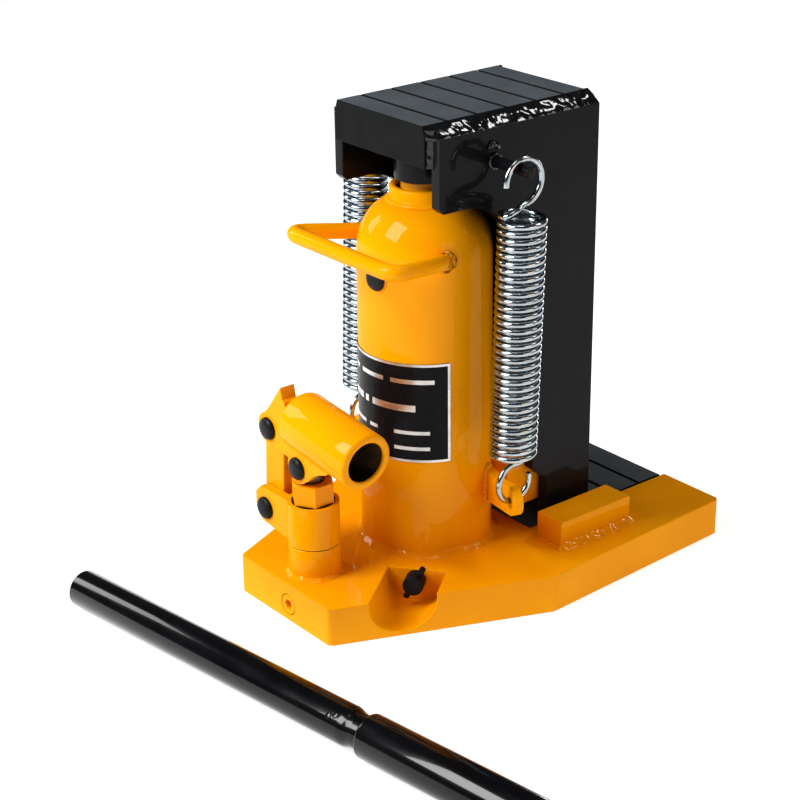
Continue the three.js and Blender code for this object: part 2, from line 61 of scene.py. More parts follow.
# ---------- dimensions shared by several pieces ----------
BASE_TOP, BASE_FRONT, BASE_REAR = 30.7, -137.2, 209.5
FRONT_PLUG_AT = Vector((4.6, BASE_FRONT, 13.2))
CYL_R = 50.25
NECK_R, NECK_BASE, NECK_TOP, NECK_BORE = 25.5, 297.0, 309.0, 21.0
SHOULDER = 257.0
HANDLE_END = Vector((45.5, -13.5, 264.3))
HANDLE_BURNS = [(47, -18, 264.6), (-47, -18, 264.6)]
FILLER_TURN, FILLER_Z = 0.12, 248.5
HEAD_HALF, HEAD_BOTTOM, HEAD_TOP, HEAD_FRONT, HEAD_REAR = 50.2, 338, 368, -41, 112.7
SIDE_IN, SIDE_OUT, SIDE_TOP, SIDE_REAR = 50.3, 59.5, 359.6, 116.7
TOE_HALF, TOE_FRONT, TOE_TOP = 52.5, 209.5, 31
PUMP = Vector((0, -107.8, 0))
COLLAR_R, COLLAR_BOTTOM, COLLAR_TOP = 19.4, 55.9, 88.6
LEVER_PIN, LINK_TOP, LINK_BOTTOM = (0.0, 118.0), (-35.2, 137.8), (-38.8, 72.4)
EAR_HALF, CHEEK_HALF, SLOT_HALF = 15.5, 13.0, 8.0
MOUTH = Vector((65.2, -107.8, 141.5))
SOCKET_TILT = math.radians(6.7)
SOCKET_DIR = Vector((math.cos(SOCKET_TILT), 0, -math.sin(SOCKET_TILT)))
SOCKET_R, SOCKET_BORE, SOCKET_LENGTH = 21.6, 15.4, 77.0
VALVE_AT = Vector((49.2, -49.7, 24.5))
VALVE_DIR = Vector((0.605, -0.796, 0)).normalized()
BAR_AT = Vector((-113.4, -241.1, 14.4))
BAR_DIR = Vector((0.9911, 0.1332, 0.0057)).normalized()
SPRING_AT = Vector((88, 8.4, 83.3))
SPRING_LEAN = math.radians(1.95)
COIL_BOTTOM, COIL_TOP, COIL_R, WIRE_R = 34.0, 221.5, 15.5, 2.3
COIL_TURNS = 33
HOOK_R, LOOP_R, LOOP_Z = 14.8, 16.5, 243.4
PEG_Y, PEG_Z = 15, 335.2

# ---------- colours and light shared by several materials ----------
YELLOW_BRIGHT, YELLOW_DEEP = (0.93, 0.40, 0.002), (0.87, 0.35, 0.002)
FILL = (0.16, 0.15, 0.145)
REFLECTED = (0.05, 0.052, 0.056)


# ---------- mesh helpers ----------
def rows_to_mesh(rows, wrap_rows, caps):
    """A skin over rows of points. Each row is a closed ring; caps close the first and last row."""
    bm = bmesh.new()
    rings = [[bm.verts.new(p) for p in row] for row in rows]
    last = len(rings) if wrap_rows else len(rings) - 1
    for i in range(last):
        a, b = rings[i], rings[(i + 1) % len(rings)]
        for j in range(len(a)):
            k = (j + 1) % len(a)
            bm.faces.new((a[j], a[k], b[k], b[j]))
    if caps:
        bm.faces.new(list(reversed(rings[0])))
        bm.faces.new(rings[-1])
    return bm


def prism(points, lo, hi, axis="z"):
    """An outline pushed from lo to hi. Axis z takes (x, y), axis y takes (x, z), axis x takes (y, z)."""
    place = {
        "z": lambda u, v, w: (u, v, w),
        "y": lambda u, v, w: (u, w, v),
        "x": lambda u, v, w: (w, u, v),
    }[axis]
    return rows_to_mesh([[place(u, v, w) for u, v in points] for w in (lo, hi)], False, True)


def block(x, y, z):
    return prism([(x[0], y[0]), (x[1], y[0]), (x[1], y[1]), (x[0], y[1])], z[0], z[1])


def lathe(profile, count=64):
    """A closed [radius, height] outline turned about Z. A radius of 0 makes a pole."""
    bm = bmesh.new()
    columns = []
    for r, z in profile:
        if r < 1e-6:
            columns.append([bm.verts.new((0, 0, z))] * count)
            continue
        turn = [2 * math.pi * i / count for i in range(count)]
        columns.append([bm.verts.new((r * math.cos(a), r * math.sin(a), z)) for a in turn])
    for i, low in enumerate(columns):
        high = columns[(i + 1) % len(columns)]
        for j in range(count):
            k = (j + 1) % count
            corners = list(dict.fromkeys((low[j], low[k], high[k], high[j])))
            if len(corners) > 2:
                bm.faces.new(corners)
    return bm


def rounded(profile, radius, steps=4):
    """Rounds every corner of a closed [radius, height] outline, except the corners on the axis."""
    out = []
    count = len(profile)
    for i, (r, z) in enumerate(profile):
        here = Vector((r, z))
        before = Vector(profile[i - 1]) - here
        after = Vector(profile[(i + 1) % count]) - here
        size = min(radius, before.length * 0.45, after.length * 0.45)
        straight = before.length < 1e-6 or after.length < 1e-6 or abs(before.angle(after) - math.pi) < 0.15
        if r < 1e-6 or straight:
            out.append((r, z))
            continue
        a, b = here + before.normalized() * size, here + after.normalized() * size
        for s in range(steps + 1):
            t = s / steps
            p = a * (1 - t) ** 2 + here * 2 * t * (1 - t) + b * t ** 2
            out.append((p.x, p.y))
    return out


def arc(centre, radius, start, end, count):
    """Points on a circle, with the angles in degrees."""
    angles = [math.radians(start + (end - start) * i / count) for i in range(count + 1)]
    return [(centre[0] + radius * math.cos(a), centre[1] + radius * math.sin(a)) for a in angles]


def tube(points, radius, sides=12, closed=False):
    """A round rod along points. Radius is one number, or one for each point."""
    points = [Vector(p) for p in points]
    count = len(points)
    radii = radius if isinstance(radius, list) else [radius] * count
    rows = []
    side = None
    for i, p in enumerate(points):
        after = points[(i + 1) % count] if closed or i < count - 1 else p
        before = points[i - 1] if closed or i > 0 else p
        line = (after - before).normalized()
        if side is None:
            side = line.orthogonal().normalized()
        side = (side - line * side.dot(line)).normalized()
        other = line.cross(side)
        turn = [2 * math.pi * j / sides for j in range(sides)]
        rows.append([p + (side * math.cos(a) + other * math.sin(a)) * radii[i] for a in turn])
    return rows_to_mesh(rows, closed, not closed)


def smooth_path(points, rounds=3, closed=False):
    """Cuts the corners off a line of points, so that it bends smoothly."""
    points = [Vector(p) for p in points]
    for _ in range(rounds):
        out = [] if closed else [points[0]]
        for i in range(len(points) if closed else len(points) - 1):
            a, b = points[i], points[(i + 1) % len(points)]
            out += [a.lerp(b, 0.25), a.lerp(b, 0.75)]
        points = out if closed else out + [points[-1]]
    return points


def even_path(points, step, closed=False):
    """The same line with its points a fixed step apart."""
    line = [Vector(p) for p in points] + ([Vector(points[0])] if closed else [])
    out = [line[0]]
    left = step
    for a, b in zip(line, line[1:]):
        length = (b - a).length
        while left <= length:
            out.append(a.lerp(b, left / length))
            left += step
        left -= length
    return out


def mirrored(bm):
    bmesh.ops.scale(bm, vec=(-1, 1, 1), verts=bm.verts)
    bmesh.ops.reverse_faces(bm, faces=bm.faces)
    return bm


def turned(bm, direction, origin):
    """Moves a shape built along +Z so that it points along a direction from an origin."""
    matrix = Matrix.Translation(origin) @ Z.rotation_difference(Vector(direction)).to_matrix().to_4x4()
    bmesh.ops.transform(bm, matrix=matrix, verts=bm.verts)
    return bm


def make_object(name, bm):
    bmesh.ops.recalc_face_normals(bm, faces=bm.faces)
    mesh = bpy.data.meshes.new(name)
    bm.to_mesh(mesh)
    bm.free()
    mesh.transform(Matrix.Scale(MM, 4))
    obj = bpy.data.objects.new(name, mesh)
    bpy.context.scene.collection.objects.link(obj)
    return obj


def apply_modifiers(obj):
    graph = bpy.context.evaluated_depsgraph_get()
    mesh = bpy.data.meshes.new_from_object(obj.evaluated_get(graph))
    obj.modifiers.clear()
    obj.data = mesh


def combine(obj, operation, *tools):
    """Cuts tools out of an object, adds them, or keeps what they share."""
    for bm in tools:
        tool = make_object("tool", bm)
        modifier = obj.modifiers.new("combine", "BOOLEAN")
        modifier.operation = operation
        modifier.object = tool
        modifier.solver = "EXACT"
        apply_modifiers(obj)
        bpy.data.objects.remove(tool)
    return obj


def piece(obj, body, material, nodes=(), bevel=0.0, segments=3, angle=32, slot=None):
    """Rounds an object's edges, shades it, and makes it ride on a CAD body."""
    if bevel:
        modifier = obj.modifiers.new("bevel", "BEVEL")
        modifier.width = bevel * MM
        modifier.segments = segments
        modifier.limit_method = "ANGLE"
        modifier.angle_limit = math.radians(angle)
        apply_modifiers(obj)
    obj.data.materials.clear()
    obj.data.materials.append(material)
    for face in obj.data.polygons:
        face.use_smooth = True
    if bevel:
        normals = obj.modifiers.new("normals", "WEIGHTED_NORMAL")
        normals.keep_sharp = True
    else:
        obj.data.set_sharp_from_angle(angle=math.radians(angle))
    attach(obj, body)
    if nodes:
        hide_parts(*nodes)
    return obj


def add(name, bm, body, material, nodes=(), **looks):
    return piece(make_object(name, bm), body, material, nodes, **looks)


# ---------- material helpers ----------
class Shader:
    """One node material, with short calls for the nodes that this file uses."""

    def __init__(self, name):
        self.material = bpy.data.materials.new(name)
        self.material.use_nodes = True
        self.tree = self.material.node_tree
        self.bsdf = self.tree.nodes["Principled BSDF"]
        self.place = self.node("ShaderNodeTexCoord").outputs["Object"]

    def node(self, kind, inputs=(), **settings):
        made = self.tree.nodes.new(kind)
        for key, value in settings.items():
            setattr(made, key, value)
        for key, value in dict(inputs).items():
            if isinstance(value, bpy.types.NodeSocket):
                self.tree.links.new(value, made.inputs[key])
            else:
                made.inputs[key].default_value = value
        return made

    def noise(self, scale, detail=3.0, stretch=None, rough=0.5):
        place = self.place
        if stretch:
            place = self.node("ShaderNodeMapping", {"Vector": place, "Scale": stretch}).outputs[0]
        values = {"Vector": place, "Scale": scale, "Detail": detail, "Roughness": rough}
        return self.node("ShaderNodeTexNoise", values).outputs["Fac"]

    def span(self, value, low, high, to_low=0.0, to_high=1.0):
        values = {"Value": value, 1: low, 2: high, 3: to_low, 4: to_high}
        return self.node("ShaderNodeMapRange", values).outputs[0]

    def calc(self, operation, first, second):
        return self.node("ShaderNodeMath", {0: first, 1: second}, operation=operation).outputs[0]

    def mix(self, share, first, second):
        made = self.node("ShaderNodeMix", data_type="RGBA")
        for socket, value in ((0, share), (6, first), (7, second)):
            if isinstance(value, bpy.types.NodeSocket):
                self.tree.links.new(value, made.inputs[socket])
            else:
                made.inputs[socket].default_value = value
        return made.outputs[2]

    def bumps(self, *layers):
        """Stacks bump layers of (height socket, depth in mm, strength)."""
        normal = None
        for height, depth, strength in layers:
            values = {"Height": height, "Distance": depth * MM, "Strength": strength}
            made = self.node("ShaderNodeBump", values)
            if normal:
                self.tree.links.new(normal, made.inputs["Normal"])
            normal = made.outputs[0]
        self.tree.links.new(normal, self.bsdf.inputs["Normal"])

    def set(self, **values):
        for key, value in values.items():
            name = key.replace("_", " ")
            if isinstance(value, bpy.types.NodeSocket):
                self.tree.links.new(value, self.bsdf.inputs[name])
            else:
                self.bsdf.inputs[name].default_value = value
        return self


def rgb(r, g, b):
    return (r, g, b, 1.0)


def enamel(name, bright, deep, grime_and_shade, rough, peel, wave, coat, shine=0.22):
    """Sprayed enamel: slight tone changes, orange peel, slow waves, specks, and painted shade in the corners
    from an occlusion mask (in the black enamels the corner tint is a faint paler grey, like dust).
    """
    s = Shader(name)
    tone = s.mix(s.span(s.noise(16, 4), 0.35, 0.7), rgb(*bright), rgb(*deep))
    # Painted shade: an occlusion mask, broken into patches by noise, pulls corners and creases towards the
    # corner colour. This darkens them in the yellow enamels and greys them faintly in the black ones.
    hollow = s.node("ShaderNodeAmbientOcclusion", {"Distance": 4 * MM}, samples=4).outputs["AO"]
    shade_and_grime_patches = s.span(s.noise(240, 5), 0.35, 0.75)
    share = s.calc("MULTIPLY", s.span(hollow, 0.42, 0.12), shade_and_grime_patches)
    speck = s.span(s.noise(420, 2), 0.76, 0.80)
    colour = s.mix(share, tone, rgb(*grime_and_shade))
    s.set(Base_Color=s.mix(s.calc("MULTIPLY", speck, 0.35), colour, rgb(*grime_and_shade)))
    s.set(Roughness=s.span(s.noise(45, 4), 0.3, 0.7, rough * 0.8, rough * 1.25))
    s.set(Coat_Weight=coat, Coat_Roughness=0.04, Specular_IOR_Level=shine)
    s.bumps((s.noise(700, 2), 0.03, peel), (s.noise(75, 2), 0.5, wave))
    return s.material


def head_paint():
    """Satin black, with a painted dull blue-grey sheen on the faces that look up, standing in for the light
    they catch from above.
    """
    s = Shader("head_black")
    normal = s.node("ShaderNodeNewGeometry").outputs["Normal"]
    up = s.node("ShaderNodeSeparateXYZ", {0: normal}).outputs["Z"]
    # Painted sheen: faces that look up are made paler and blue-grey, as if lit from above, with dark specks
    # through it.
    faces_up_sheen = s.span(up, 0.8, 0.98)
    cloud = s.span(s.noise(22, 5), 0.3, 0.7)
    painted_sheen = s.mix(cloud, rgb(0.080, 0.092, 0.104), rgb(0.108, 0.124, 0.138))
    speck = s.span(s.noise(500, 3), 0.68, 0.74)
    painted_sheen = s.mix(speck, painted_sheen, rgb(0.02, 0.022, 0.025))
    s.set(Base_Color=s.mix(faces_up_sheen, rgb(0.007, 0.008, 0.008), painted_sheen))
    s.set(Roughness=s.span(s.noise(60, 4), 0.3, 0.7, 0.38, 0.55), Specular_IOR_Level=0.1)
    s.bumps((s.noise(900, 3), 0.04, 0.7), (s.noise(60, 3), 0.4, 0.15))
    return s.material


def ram_paint():
    """Overspray at the top of the ram, and ground steel below it, which shows when the head is up."""
    s = Shader("ram_paint")
    height = s.node("ShaderNodeSeparateXYZ", {0: s.place}).outputs["Z"]
    wander = s.span(s.noise(160, 4), 0.3, 0.7, -1.2 * MM, 1.2 * MM)
    edge = s.calc("ADD", height, wander)
    share = s.span(edge, 301 * MM, 301.6 * MM)
    grind = s.noise(30, 3, stretch=(1, 1, 60))
    steel = s.mix(grind, rgb(0.50, 0.51, 0.52), rgb(0.66, 0.67, 0.68))
    s.set(Base_Color=s.mix(share, steel, rgb(0.86, 0.36, 0.006)))
    s.set(Metallic=s.span(share, 0, 1, 1, 0), Roughness=s.span(share, 0, 1, 0.22, 0.38))
    s.bumps((grind, 0.01, 0.3))
    return s.material


def metal(name, low, high, rough, stretch, depth):
    """Bare or plated metal, with tool lines drawn out along one axis and faint stains."""
    s = Shader(name)
    lines = s.noise(260, 4, stretch=stretch)
    stain = s.span(s.noise(60, 4), 0.4, 0.75)
    s.set(Base_Color=s.mix(stain, rgb(*high), rgb(*low)), Metallic=1.0)
    s.set(Roughness=s.span(lines, 0.3, 0.7, rough * 0.7, rough * 1.4))
    s.bumps((lines, depth, 0.4))
    return s.material


def rubber(name, colour, rough, shine=0.3):
    """Rubber, moulded plastic or printed sheet: faint mottling and a fine matte grain."""
    s = Shader(name)
    paler = [c * 1.9 for c in colour]
    s.set(Base_Color=s.mix(s.noise(120, 4), rgb(*colour), rgb(*paler)))
    s.set(Roughness=s.span(s.noise(300, 3), 0.3, 0.7, rough * 0.85, min(1.0, rough * 1.15)))
    s.set(Specular_IOR_Level=shine)
    s.bumps((s.noise(1500, 3), 0.02, 0.5))
    return s.material


def oily_bore():
    """The socket's bore: thin paint over bare steel, with black oil and chips along the bottom."""
    s = Shader("oily_bore")
    height = s.node("ShaderNodeSeparateXYZ", {0: s.place}).outputs["Z"]
    wander = s.span(s.noise(420, 5, rough=0.7), 0.3, 0.7, -3 * MM, 3 * MM)
    level = s.calc("ADD", height, wander)
    oil = s.span(level, 132.5 * MM, 130.5 * MM)
    base = s.mix(s.noise(90, 4), rgb(0.16, 0.075, 0.012), rgb(0.05, 0.03, 0.012))
    s.set(Base_Color=s.mix(oil, base, rgb(0.008, 0.008, 0.007)))
    s.set(Roughness=s.span(oil, 0, 1, 0.6, 0.3))
    s.bumps((s.noise(500, 5, rough=0.7), 0.6, 0.8))
    return s.material


def scorched_paint(name, centres, reach):
    """Yellow enamel with brown, sooty burns round the handle's welded ends."""
    s = Shader(name)
    tone = s.mix(s.span(s.noise(16, 4), 0.35, 0.7), rgb(*YELLOW_BRIGHT), rgb(*YELLOW_DEEP))
    near = None
    for centre in centres:
        ends = {0: s.place, 1: Vector(centre) * MM}
        gap = s.node("ShaderNodeVectorMath", ends, operation="DISTANCE").outputs["Value"]
        near = gap if near is None else s.calc("MINIMUM", near, gap)
    wander = s.span(s.noise(260, 5, rough=0.7), 0.3, 0.7, -reach * 0.5 * MM, reach * 0.5 * MM)
    edge = s.calc("ADD", near, wander)
    burn = s.span(edge, reach * MM, reach * 0.45 * MM, 0.0, 0.85)
    patches = s.span(s.noise(380, 5, rough=0.7), 0.42, 0.62)
    soot = s.mix(patches, rgb(0.30, 0.09, 0.008), rgb(0.03, 0.018, 0.010))
    s.set(Base_Color=s.mix(burn, tone, soot), Roughness=s.span(burn, 0, 1, 0.33, 0.6))
    s.set(Coat_Weight=0.3, Coat_Roughness=0.04, Specular_IOR_Level=0.0)
    s.bumps((s.noise(700, 2), 0.03, 0.5), (s.noise(75, 2), 0.5, 0.3))
    return s.material


YELLOW = enamel(
    "yellow_enamel", bright=YELLOW_BRIGHT, deep=YELLOW_DEEP, grime_and_shade=(0.20, 0.05, 0.004),
    rough=0.3, peel=0.25, wave=0.12, coat=0.3, shine=0.0,
)
WELD_YELLOW = enamel(
    "yellow_weld", bright=(0.92, 0.38, 0.002), deep=(0.84, 0.30, 0.002), grime_and_shade=(0.25, 0.07, 0.004),
    rough=0.26, peel=0.15, wave=0.15, coat=0.5, shine=0.0,
)
BLACK = enamel(
    "black_enamel", bright=(0.008, 0.008, 0.009), deep=(0.012, 0.012, 0.014), grime_and_shade=(0.02, 0.018, 0.016),
    rough=0.3, peel=0.5, wave=0.35, coat=0.22, shine=0.06,
)
WELD_BLACK = enamel(
    "black_weld", bright=(0.004, 0.004, 0.005), deep=(0.008, 0.008, 0.009), grime_and_shade=(0.01, 0.01, 0.01),
    rough=0.14, peel=0.15, wave=0.25, coat=0.8, shine=0.3,
)
TOP_BLACK = head_paint()
BAR_BLACK = enamel(
    "black_bar", bright=(0.003, 0.003, 0.004), deep=(0.006, 0.006, 0.008), grime_and_shade=(0.012, 0.012, 0.012),
    rough=0.2, peel=0.2, wave=0.08, coat=0.5, shine=0.2,
)
PIN_BLACK = enamel(
    "black_pin", bright=(0.008, 0.009, 0.011), deep=(0.013, 0.014, 0.016), grime_and_shade=(0.01, 0.01, 0.01),
    rough=0.42, peel=0.9, wave=0.5, coat=0.0, shine=0.25,
)
ZINC = metal("zinc_plate", (0.36, 0.41, 0.44), (0.52, 0.58, 0.61), 0.15, (1, 1, 1), 0.001)
PLUNGER = metal("oily_steel", (0.10, 0.07, 0.045), (0.20, 0.16, 0.12), 0.35, (1, 1, 24), 0.01)
STEEL = metal("machined_steel", (0.42, 0.42, 0.42), (0.60, 0.60, 0.60), 0.32, (1, 1, 24), 0.01)
SILVER = metal("label_silver", (0.55, 0.55, 0.55), (0.78, 0.78, 0.77), 0.35, (1, 1, 6), 0.004)
RUBBER = rubber("black_rubber", (0.012, 0.012, 0.012), 0.6)
KNOB = rubber("matte_black", (0.007, 0.007, 0.008), 0.5, 0.2)
LABEL = rubber("label_black", (0.007, 0.007, 0.008), 0.3, 0.12)
BORE = oily_bore()
RAM = ram_paint()
HANDLE_PAINT = scorched_paint("handle_paint", HANDLE_BURNS, 9.0)
SCORCHED = scorched_paint("handle_weld_paint", HANDLE_BURNS, 14.0)

# The record's slot for each material. The first of a group also finishes carried-over CAD nodes.
SLOTS = {
    "yellow_paint": (YELLOW, WELD_YELLOW, BORE, RAM, HANDLE_PAINT, SCORCHED),
    "black_paint": (BLACK, WELD_BLACK, TOP_BLACK, BAR_BLACK, PIN_BLACK, KNOB),
    "steel": (STEEL, PLUNGER),
    "rubber": (RUBBER,),
    "plate": (LABEL, SILVER),
    "zinc": (ZINC,),
}


# ---------- welds ----------
def bead(name, path, radius, body, material, closed=False, pitch=3.6, ripple=0.13, seed=1, step=0.9):
    """A weld bead: a rod with ripples along it, lumps, and tapered ends."""
    points = even_path(path, step, closed)
    radii = []
    moved = []
    for i, p in enumerate(points):
        s = i * step
        lump = noise.noise(Vector((s * 0.16, seed * 7.3, 0))) * 0.22
        fine = noise.noise(Vector((s * 0.7, seed * 3.1, 5))) * 0.10
        wave = ripple * abs(math.sin(math.pi * s / pitch))
        ends = 1.0 if closed else min(1.0, (min(i, len(points) - 1 - i) + 1) / 4)
        radii.append(radius * (0.93 + wave + lump + fine) * (0.45 + 0.55 * ends))
        drift = Vector([noise.noise(Vector((s * 0.22, seed * 2.7, 11 + a))) for a in range(3)])
        moved.append(p + drift * radius * 0.16)
    return add(name, tube(moved, radii, 14, closed), body, material, angle=80)


def strip(name, rows, body, material, bulge=1.6, lump=0.9, seed=1, ceiling=None, closed=False):
    """A lumpy skin of weld between two edges. Each row is (first edge, second edge, outward line)."""
    across = 9
    out = []
    for row in rows:
        a, b, away = (Vector(v) for v in row)
        away.normalize()
        line = []
        for j in range(across + 1):
            t = j / across
            p = a.lerp(b, t)
            broad = noise.noise(p * 0.14 + Vector((seed * 9, 0, 0)))
            fine = noise.noise(p * 0.30 + Vector((0, seed * 5, 0)))
            rough = broad + 0.3 * fine
            p = p + away * math.sin(math.pi * t) ** 0.6 * (bulge + lump * rough)
            if ceiling is not None:
                p.z = min(p.z, ceiling)
            line.append(p)
        out.append([*line, b - away * 3, a - away * 3])
    return add(name, rows_to_mesh(out, closed, not closed), body, material, angle=70)


def foot_weld(name, centre, radius, height, reach, body, material, seed=1, count=220):
    """A fillet of weld round the foot of an upright cylinder, with an uneven outer edge."""
    rows = []
    for i in range(count):
        a = 2 * math.pi * i / count
        line = Vector((math.cos(a), math.sin(a), 0))
        broad = noise.noise(line * 4 + Vector((seed, 0, 0)))
        fine = noise.noise(line * 11 + Vector((0, seed, 0)))
        wave = broad + 0.3 * fine
        ring = Vector(centre) + line * radius
        top = ring + Z * (height * (1 + 0.25 * wave)) - line * 0.1
        foot = ring + line * (reach * (1 + 0.30 * wave)) - Z * 0.1
        rows.append((top, foot, line + Z))
    return strip(name, rows, body, material, -0.12 * reach, 0.05 * reach, seed, closed=True)


# ---------- base ----------
def base_outline():
    """The base from above: a narrow nose, wide shoulders, and a slot between two rear legs."""
    corner = 3.0
    nose, wide, wide_y, leg, slot, slot_y = 56.5, 122.9, 24.3, 114.3, 53.5, 60
    right = [
        (nose - corner, BASE_FRONT), (nose, BASE_FRONT + corner),
        (wide, wide_y - corner), (wide, wide_y + corner),
        (leg, BASE_REAR - corner), (leg - corner, BASE_REAR), (slot, BASE_REAR), (slot, slot_y),
    ]
    return right + [(-x, y) for x, y in reversed(right)]


def build_base():
    base = make_object("base", prism(base_outline(), 0, BASE_TOP))
    pocket = lathe([(0, 0), (22.4, 0), (22.4, 90), (0, 90)], 72)
    turned(pocket, VALVE_DIR, (VALVE_AT.x, VALVE_AT.y, 26.2))
    hole = turned(lathe([(0, -1), (8.3, -1), (8.3, 13), (0, 13)], 40), Y, FRONT_PLUG_AT)
    combine(base, "DIFFERENCE", pocket, hole)
    piece(base, "base_frame", YELLOW, ["base_plate"], bevel=1.1)
    for side, sign in SIDES:
        build_guide_bar(side, sign)
    build_front_plug()


def build_guide_bar(side, sign):
    """A bar on one rear leg, with the weld down its outer side and across its front."""
    near, far = 67.9, 95
    xs = sorted((sign * near, sign * far))
    bar = block(xs, (53.8, 127.2), (BASE_TOP - 0.2, 52.4))
    add(f"guide_bar_{side}", bar, "base_frame", YELLOW, [f"{side}_guide_bar"], bevel=1.2)
    rows = []
    for y in range(50, 132):
        ends = min(1, (y - 49) / 6, (132 - y) / 6)
        reach = far + (6.5 + 2.2 * noise.noise(Vector((y * 0.13, sign, 0)))) * ends
        upper = (sign * 94.6, y, BASE_TOP + 4.2 * ends)
        rows.append((upper, (sign * reach, y, BASE_TOP - 0.2), (sign * 0.6, 0, 1)))
    strip(f"guide_bar_weld_{side}", rows, "base_frame", WELD_YELLOW, 0.3, 1.0, 3 + sign)
    front = [(sign * x, 53.4, BASE_TOP + 0.3) for x in range(69, 96, 2)]
    bead(f"guide_bar_seam_{side}", front, 1.5, "base_frame", WELD_YELLOW, ripple=0.04, seed=6 + sign)


def build_front_plug():
    """A plug with a hexagon socket, sunk in the base's front face."""
    body = rounded([(0, 0.4), (7.9, 0.4), (7.9, 12), (0, 12)], 0.7)
    plug = make_object("front_plug", turned(lathe(body, 48), Y, FRONT_PLUG_AT))
    hexagon = turned(prism(arc((0, 0), 4.1, 0, 300, 5), -1, 6.5), Y, FRONT_PLUG_AT)
    combine(plug, "DIFFERENCE", hexagon)
    piece(plug, "base_frame", YELLOW, ["front_oil_plug"], bevel=0.25, segments=2)


# ---------- reservoir ----------
def dome(radius, top_radius, top_z, count=26):
    """The reservoir's shoulder, from its straight wall up to the neck."""
    reach = math.pi / 2 * 0.86
    span = (radius - top_radius) / (1 - math.cos(reach))
    out = []
    for i in range(count + 1):
        a = reach * i / count
        rise = (top_z - SHOULDER) * math.sin(a) / math.sin(reach)
        out.append((radius - span * (1 - math.cos(a)), SHOULDER + rise))
    return out


def build_reservoir():
    wall = dome(CYL_R, 28.3, NECK_BASE)
    neck = [
        (28.6, NECK_BASE + 0.7), (28.4, NECK_BASE + 1.8), (27.4, NECK_BASE + 2.6),
        (26.2, NECK_BASE + 3.0), (NECK_R, NECK_BASE + 3.8),
        (NECK_R, NECK_TOP - 1.4), (NECK_R - 0.5, NECK_TOP - 0.4), (NECK_R - 1.4, NECK_TOP),
        (NECK_BORE + 0.6, NECK_TOP), (NECK_BORE, NECK_TOP - 0.6), (NECK_BORE, NECK_BASE - 4),
    ]
    wall_in = CYL_R - 4.5
    profile = [(CYL_R, BASE_TOP), *wall, *neck, (wall_in, SHOULDER - 4), (wall_in, BASE_TOP)]
    tank = lathe(profile, 128)
    add("reservoir", tank, "base_frame", YELLOW, ["reservoir_tube"], angle=50)
    foot_weld("reservoir_weld", (0, 0, BASE_TOP), CYL_R, 5.0, 5.0, "base_frame", WELD_YELLOW, 5, 360)
    guide = make_object("guide_block_body", block((-49, 49), (40, 81), (50.5, 104)))
    bed = lathe([(0, 40), (CYL_R - 0.6, 40), (CYL_R - 0.6, 110), (0, 110)], 96)
    combine(guide, "DIFFERENCE", bed)
    piece(guide, "base_frame", YELLOW, ["guide_block"], bevel=1.2)


def build_carry_handle():
    """A bent round bar, welded at both ends to the reservoir's shoulder."""
    half, front, height, bend = 62, -78, 273, 15
    corner = Vector((half, front, height))
    leg = corner.lerp(HANDLE_END, bend / (corner - HANDLE_END).length)
    inner = Vector((half - bend, front, height))
    steps = [i / 14 for i in range(15)]
    curve = [leg * (1 - t) ** 2 + corner * 2 * t * (1 - t) + inner * t ** 2 for t in steps]
    right = [HANDLE_END, HANDLE_END.lerp(leg, 0.5), *curve]
    left = [Vector((-p.x, p.y, p.z)) for p in reversed(right)]
    add(
        "carry_handle_rod", tube(right + left, 6.0, 28), "base_frame", HANDLE_PAINT,
        ["carry_handle"], angle=60,
    )
    line = (corner - HANDLE_END).normalized()
    for side, sign in SIDES:
        loop = handle_weld_loop(line, sign)
        bead(f"handle_weld_{side}", loop, 1.7, "base_frame", SCORCHED, True, seed=9 + sign)


def handle_weld_loop(line, sign):
    """A ring round one end of the handle, laid on the reservoir's wall where it is below the dome."""
    count = 40
    root = HANDLE_END + line * 5.2
    u = line.orthogonal().normalized()
    v = line.cross(u)
    loop = []
    for i in range(count):
        a = 2 * math.pi * i / count
        p = root + (u * math.cos(a) + v * math.sin(a)) * 7.0
        if p.z < SHOULDER + 6:
            out = Vector((p.x, p.y, 0)).normalized()
            p = Vector((out.x * (CYL_R + 0.3), out.y * (CYL_R + 0.3), p.z))
        loop.append(Vector((p.x * sign, p.y, p.z)))
    return loop


def build_fittings():
    """The rubber filler plug, and the raised rim round it."""
    direction = Vector((math.sin(FILLER_TURN), -math.cos(FILLER_TURN), 0))
    cap = [(0, -4), (6.4, -4), (6.4, 1.2), (8.4, 1.4), (8.4, 3.2), (5.6, 4.6), (0, 5.1)]
    plug = lathe(rounded(cap, 0.7), 48)
    turned(plug, direction, direction * (CYL_R - 0.8) + Z * FILLER_Z)
    add("filler_cap", plug, "base_frame", RUBBER, ["filler_plug"], angle=40)
    rim = lathe(rounded([(8.3, -2), (10.0, -2), (9.4, 1.5), (8.7, 1.5)], 0.5), 48)
    turned(rim, direction, direction * (CYL_R - 0.9) + Z * FILLER_Z)
    add("filler_rim", rim, "base_frame", WELD_YELLOW, angle=50)


# ---------- rating plate ----------
def bent_patch(start, end, low, high, inner, outer, count=48):
    """A sheet bent round the reservoir, between two angles in degrees from -Y towards +X."""
    corners = ((inner, low), (outer, low), (outer, high), (inner, high))
    rows = []
    for i in range(count + 1):
        a = math.radians(start + (end - start) * i / count)
        line = Vector((math.sin(a), -math.cos(a), 0))
        rows.append([line * radius + Z * z for radius, z in corners])
    return rows_to_mesh(rows, False, True)


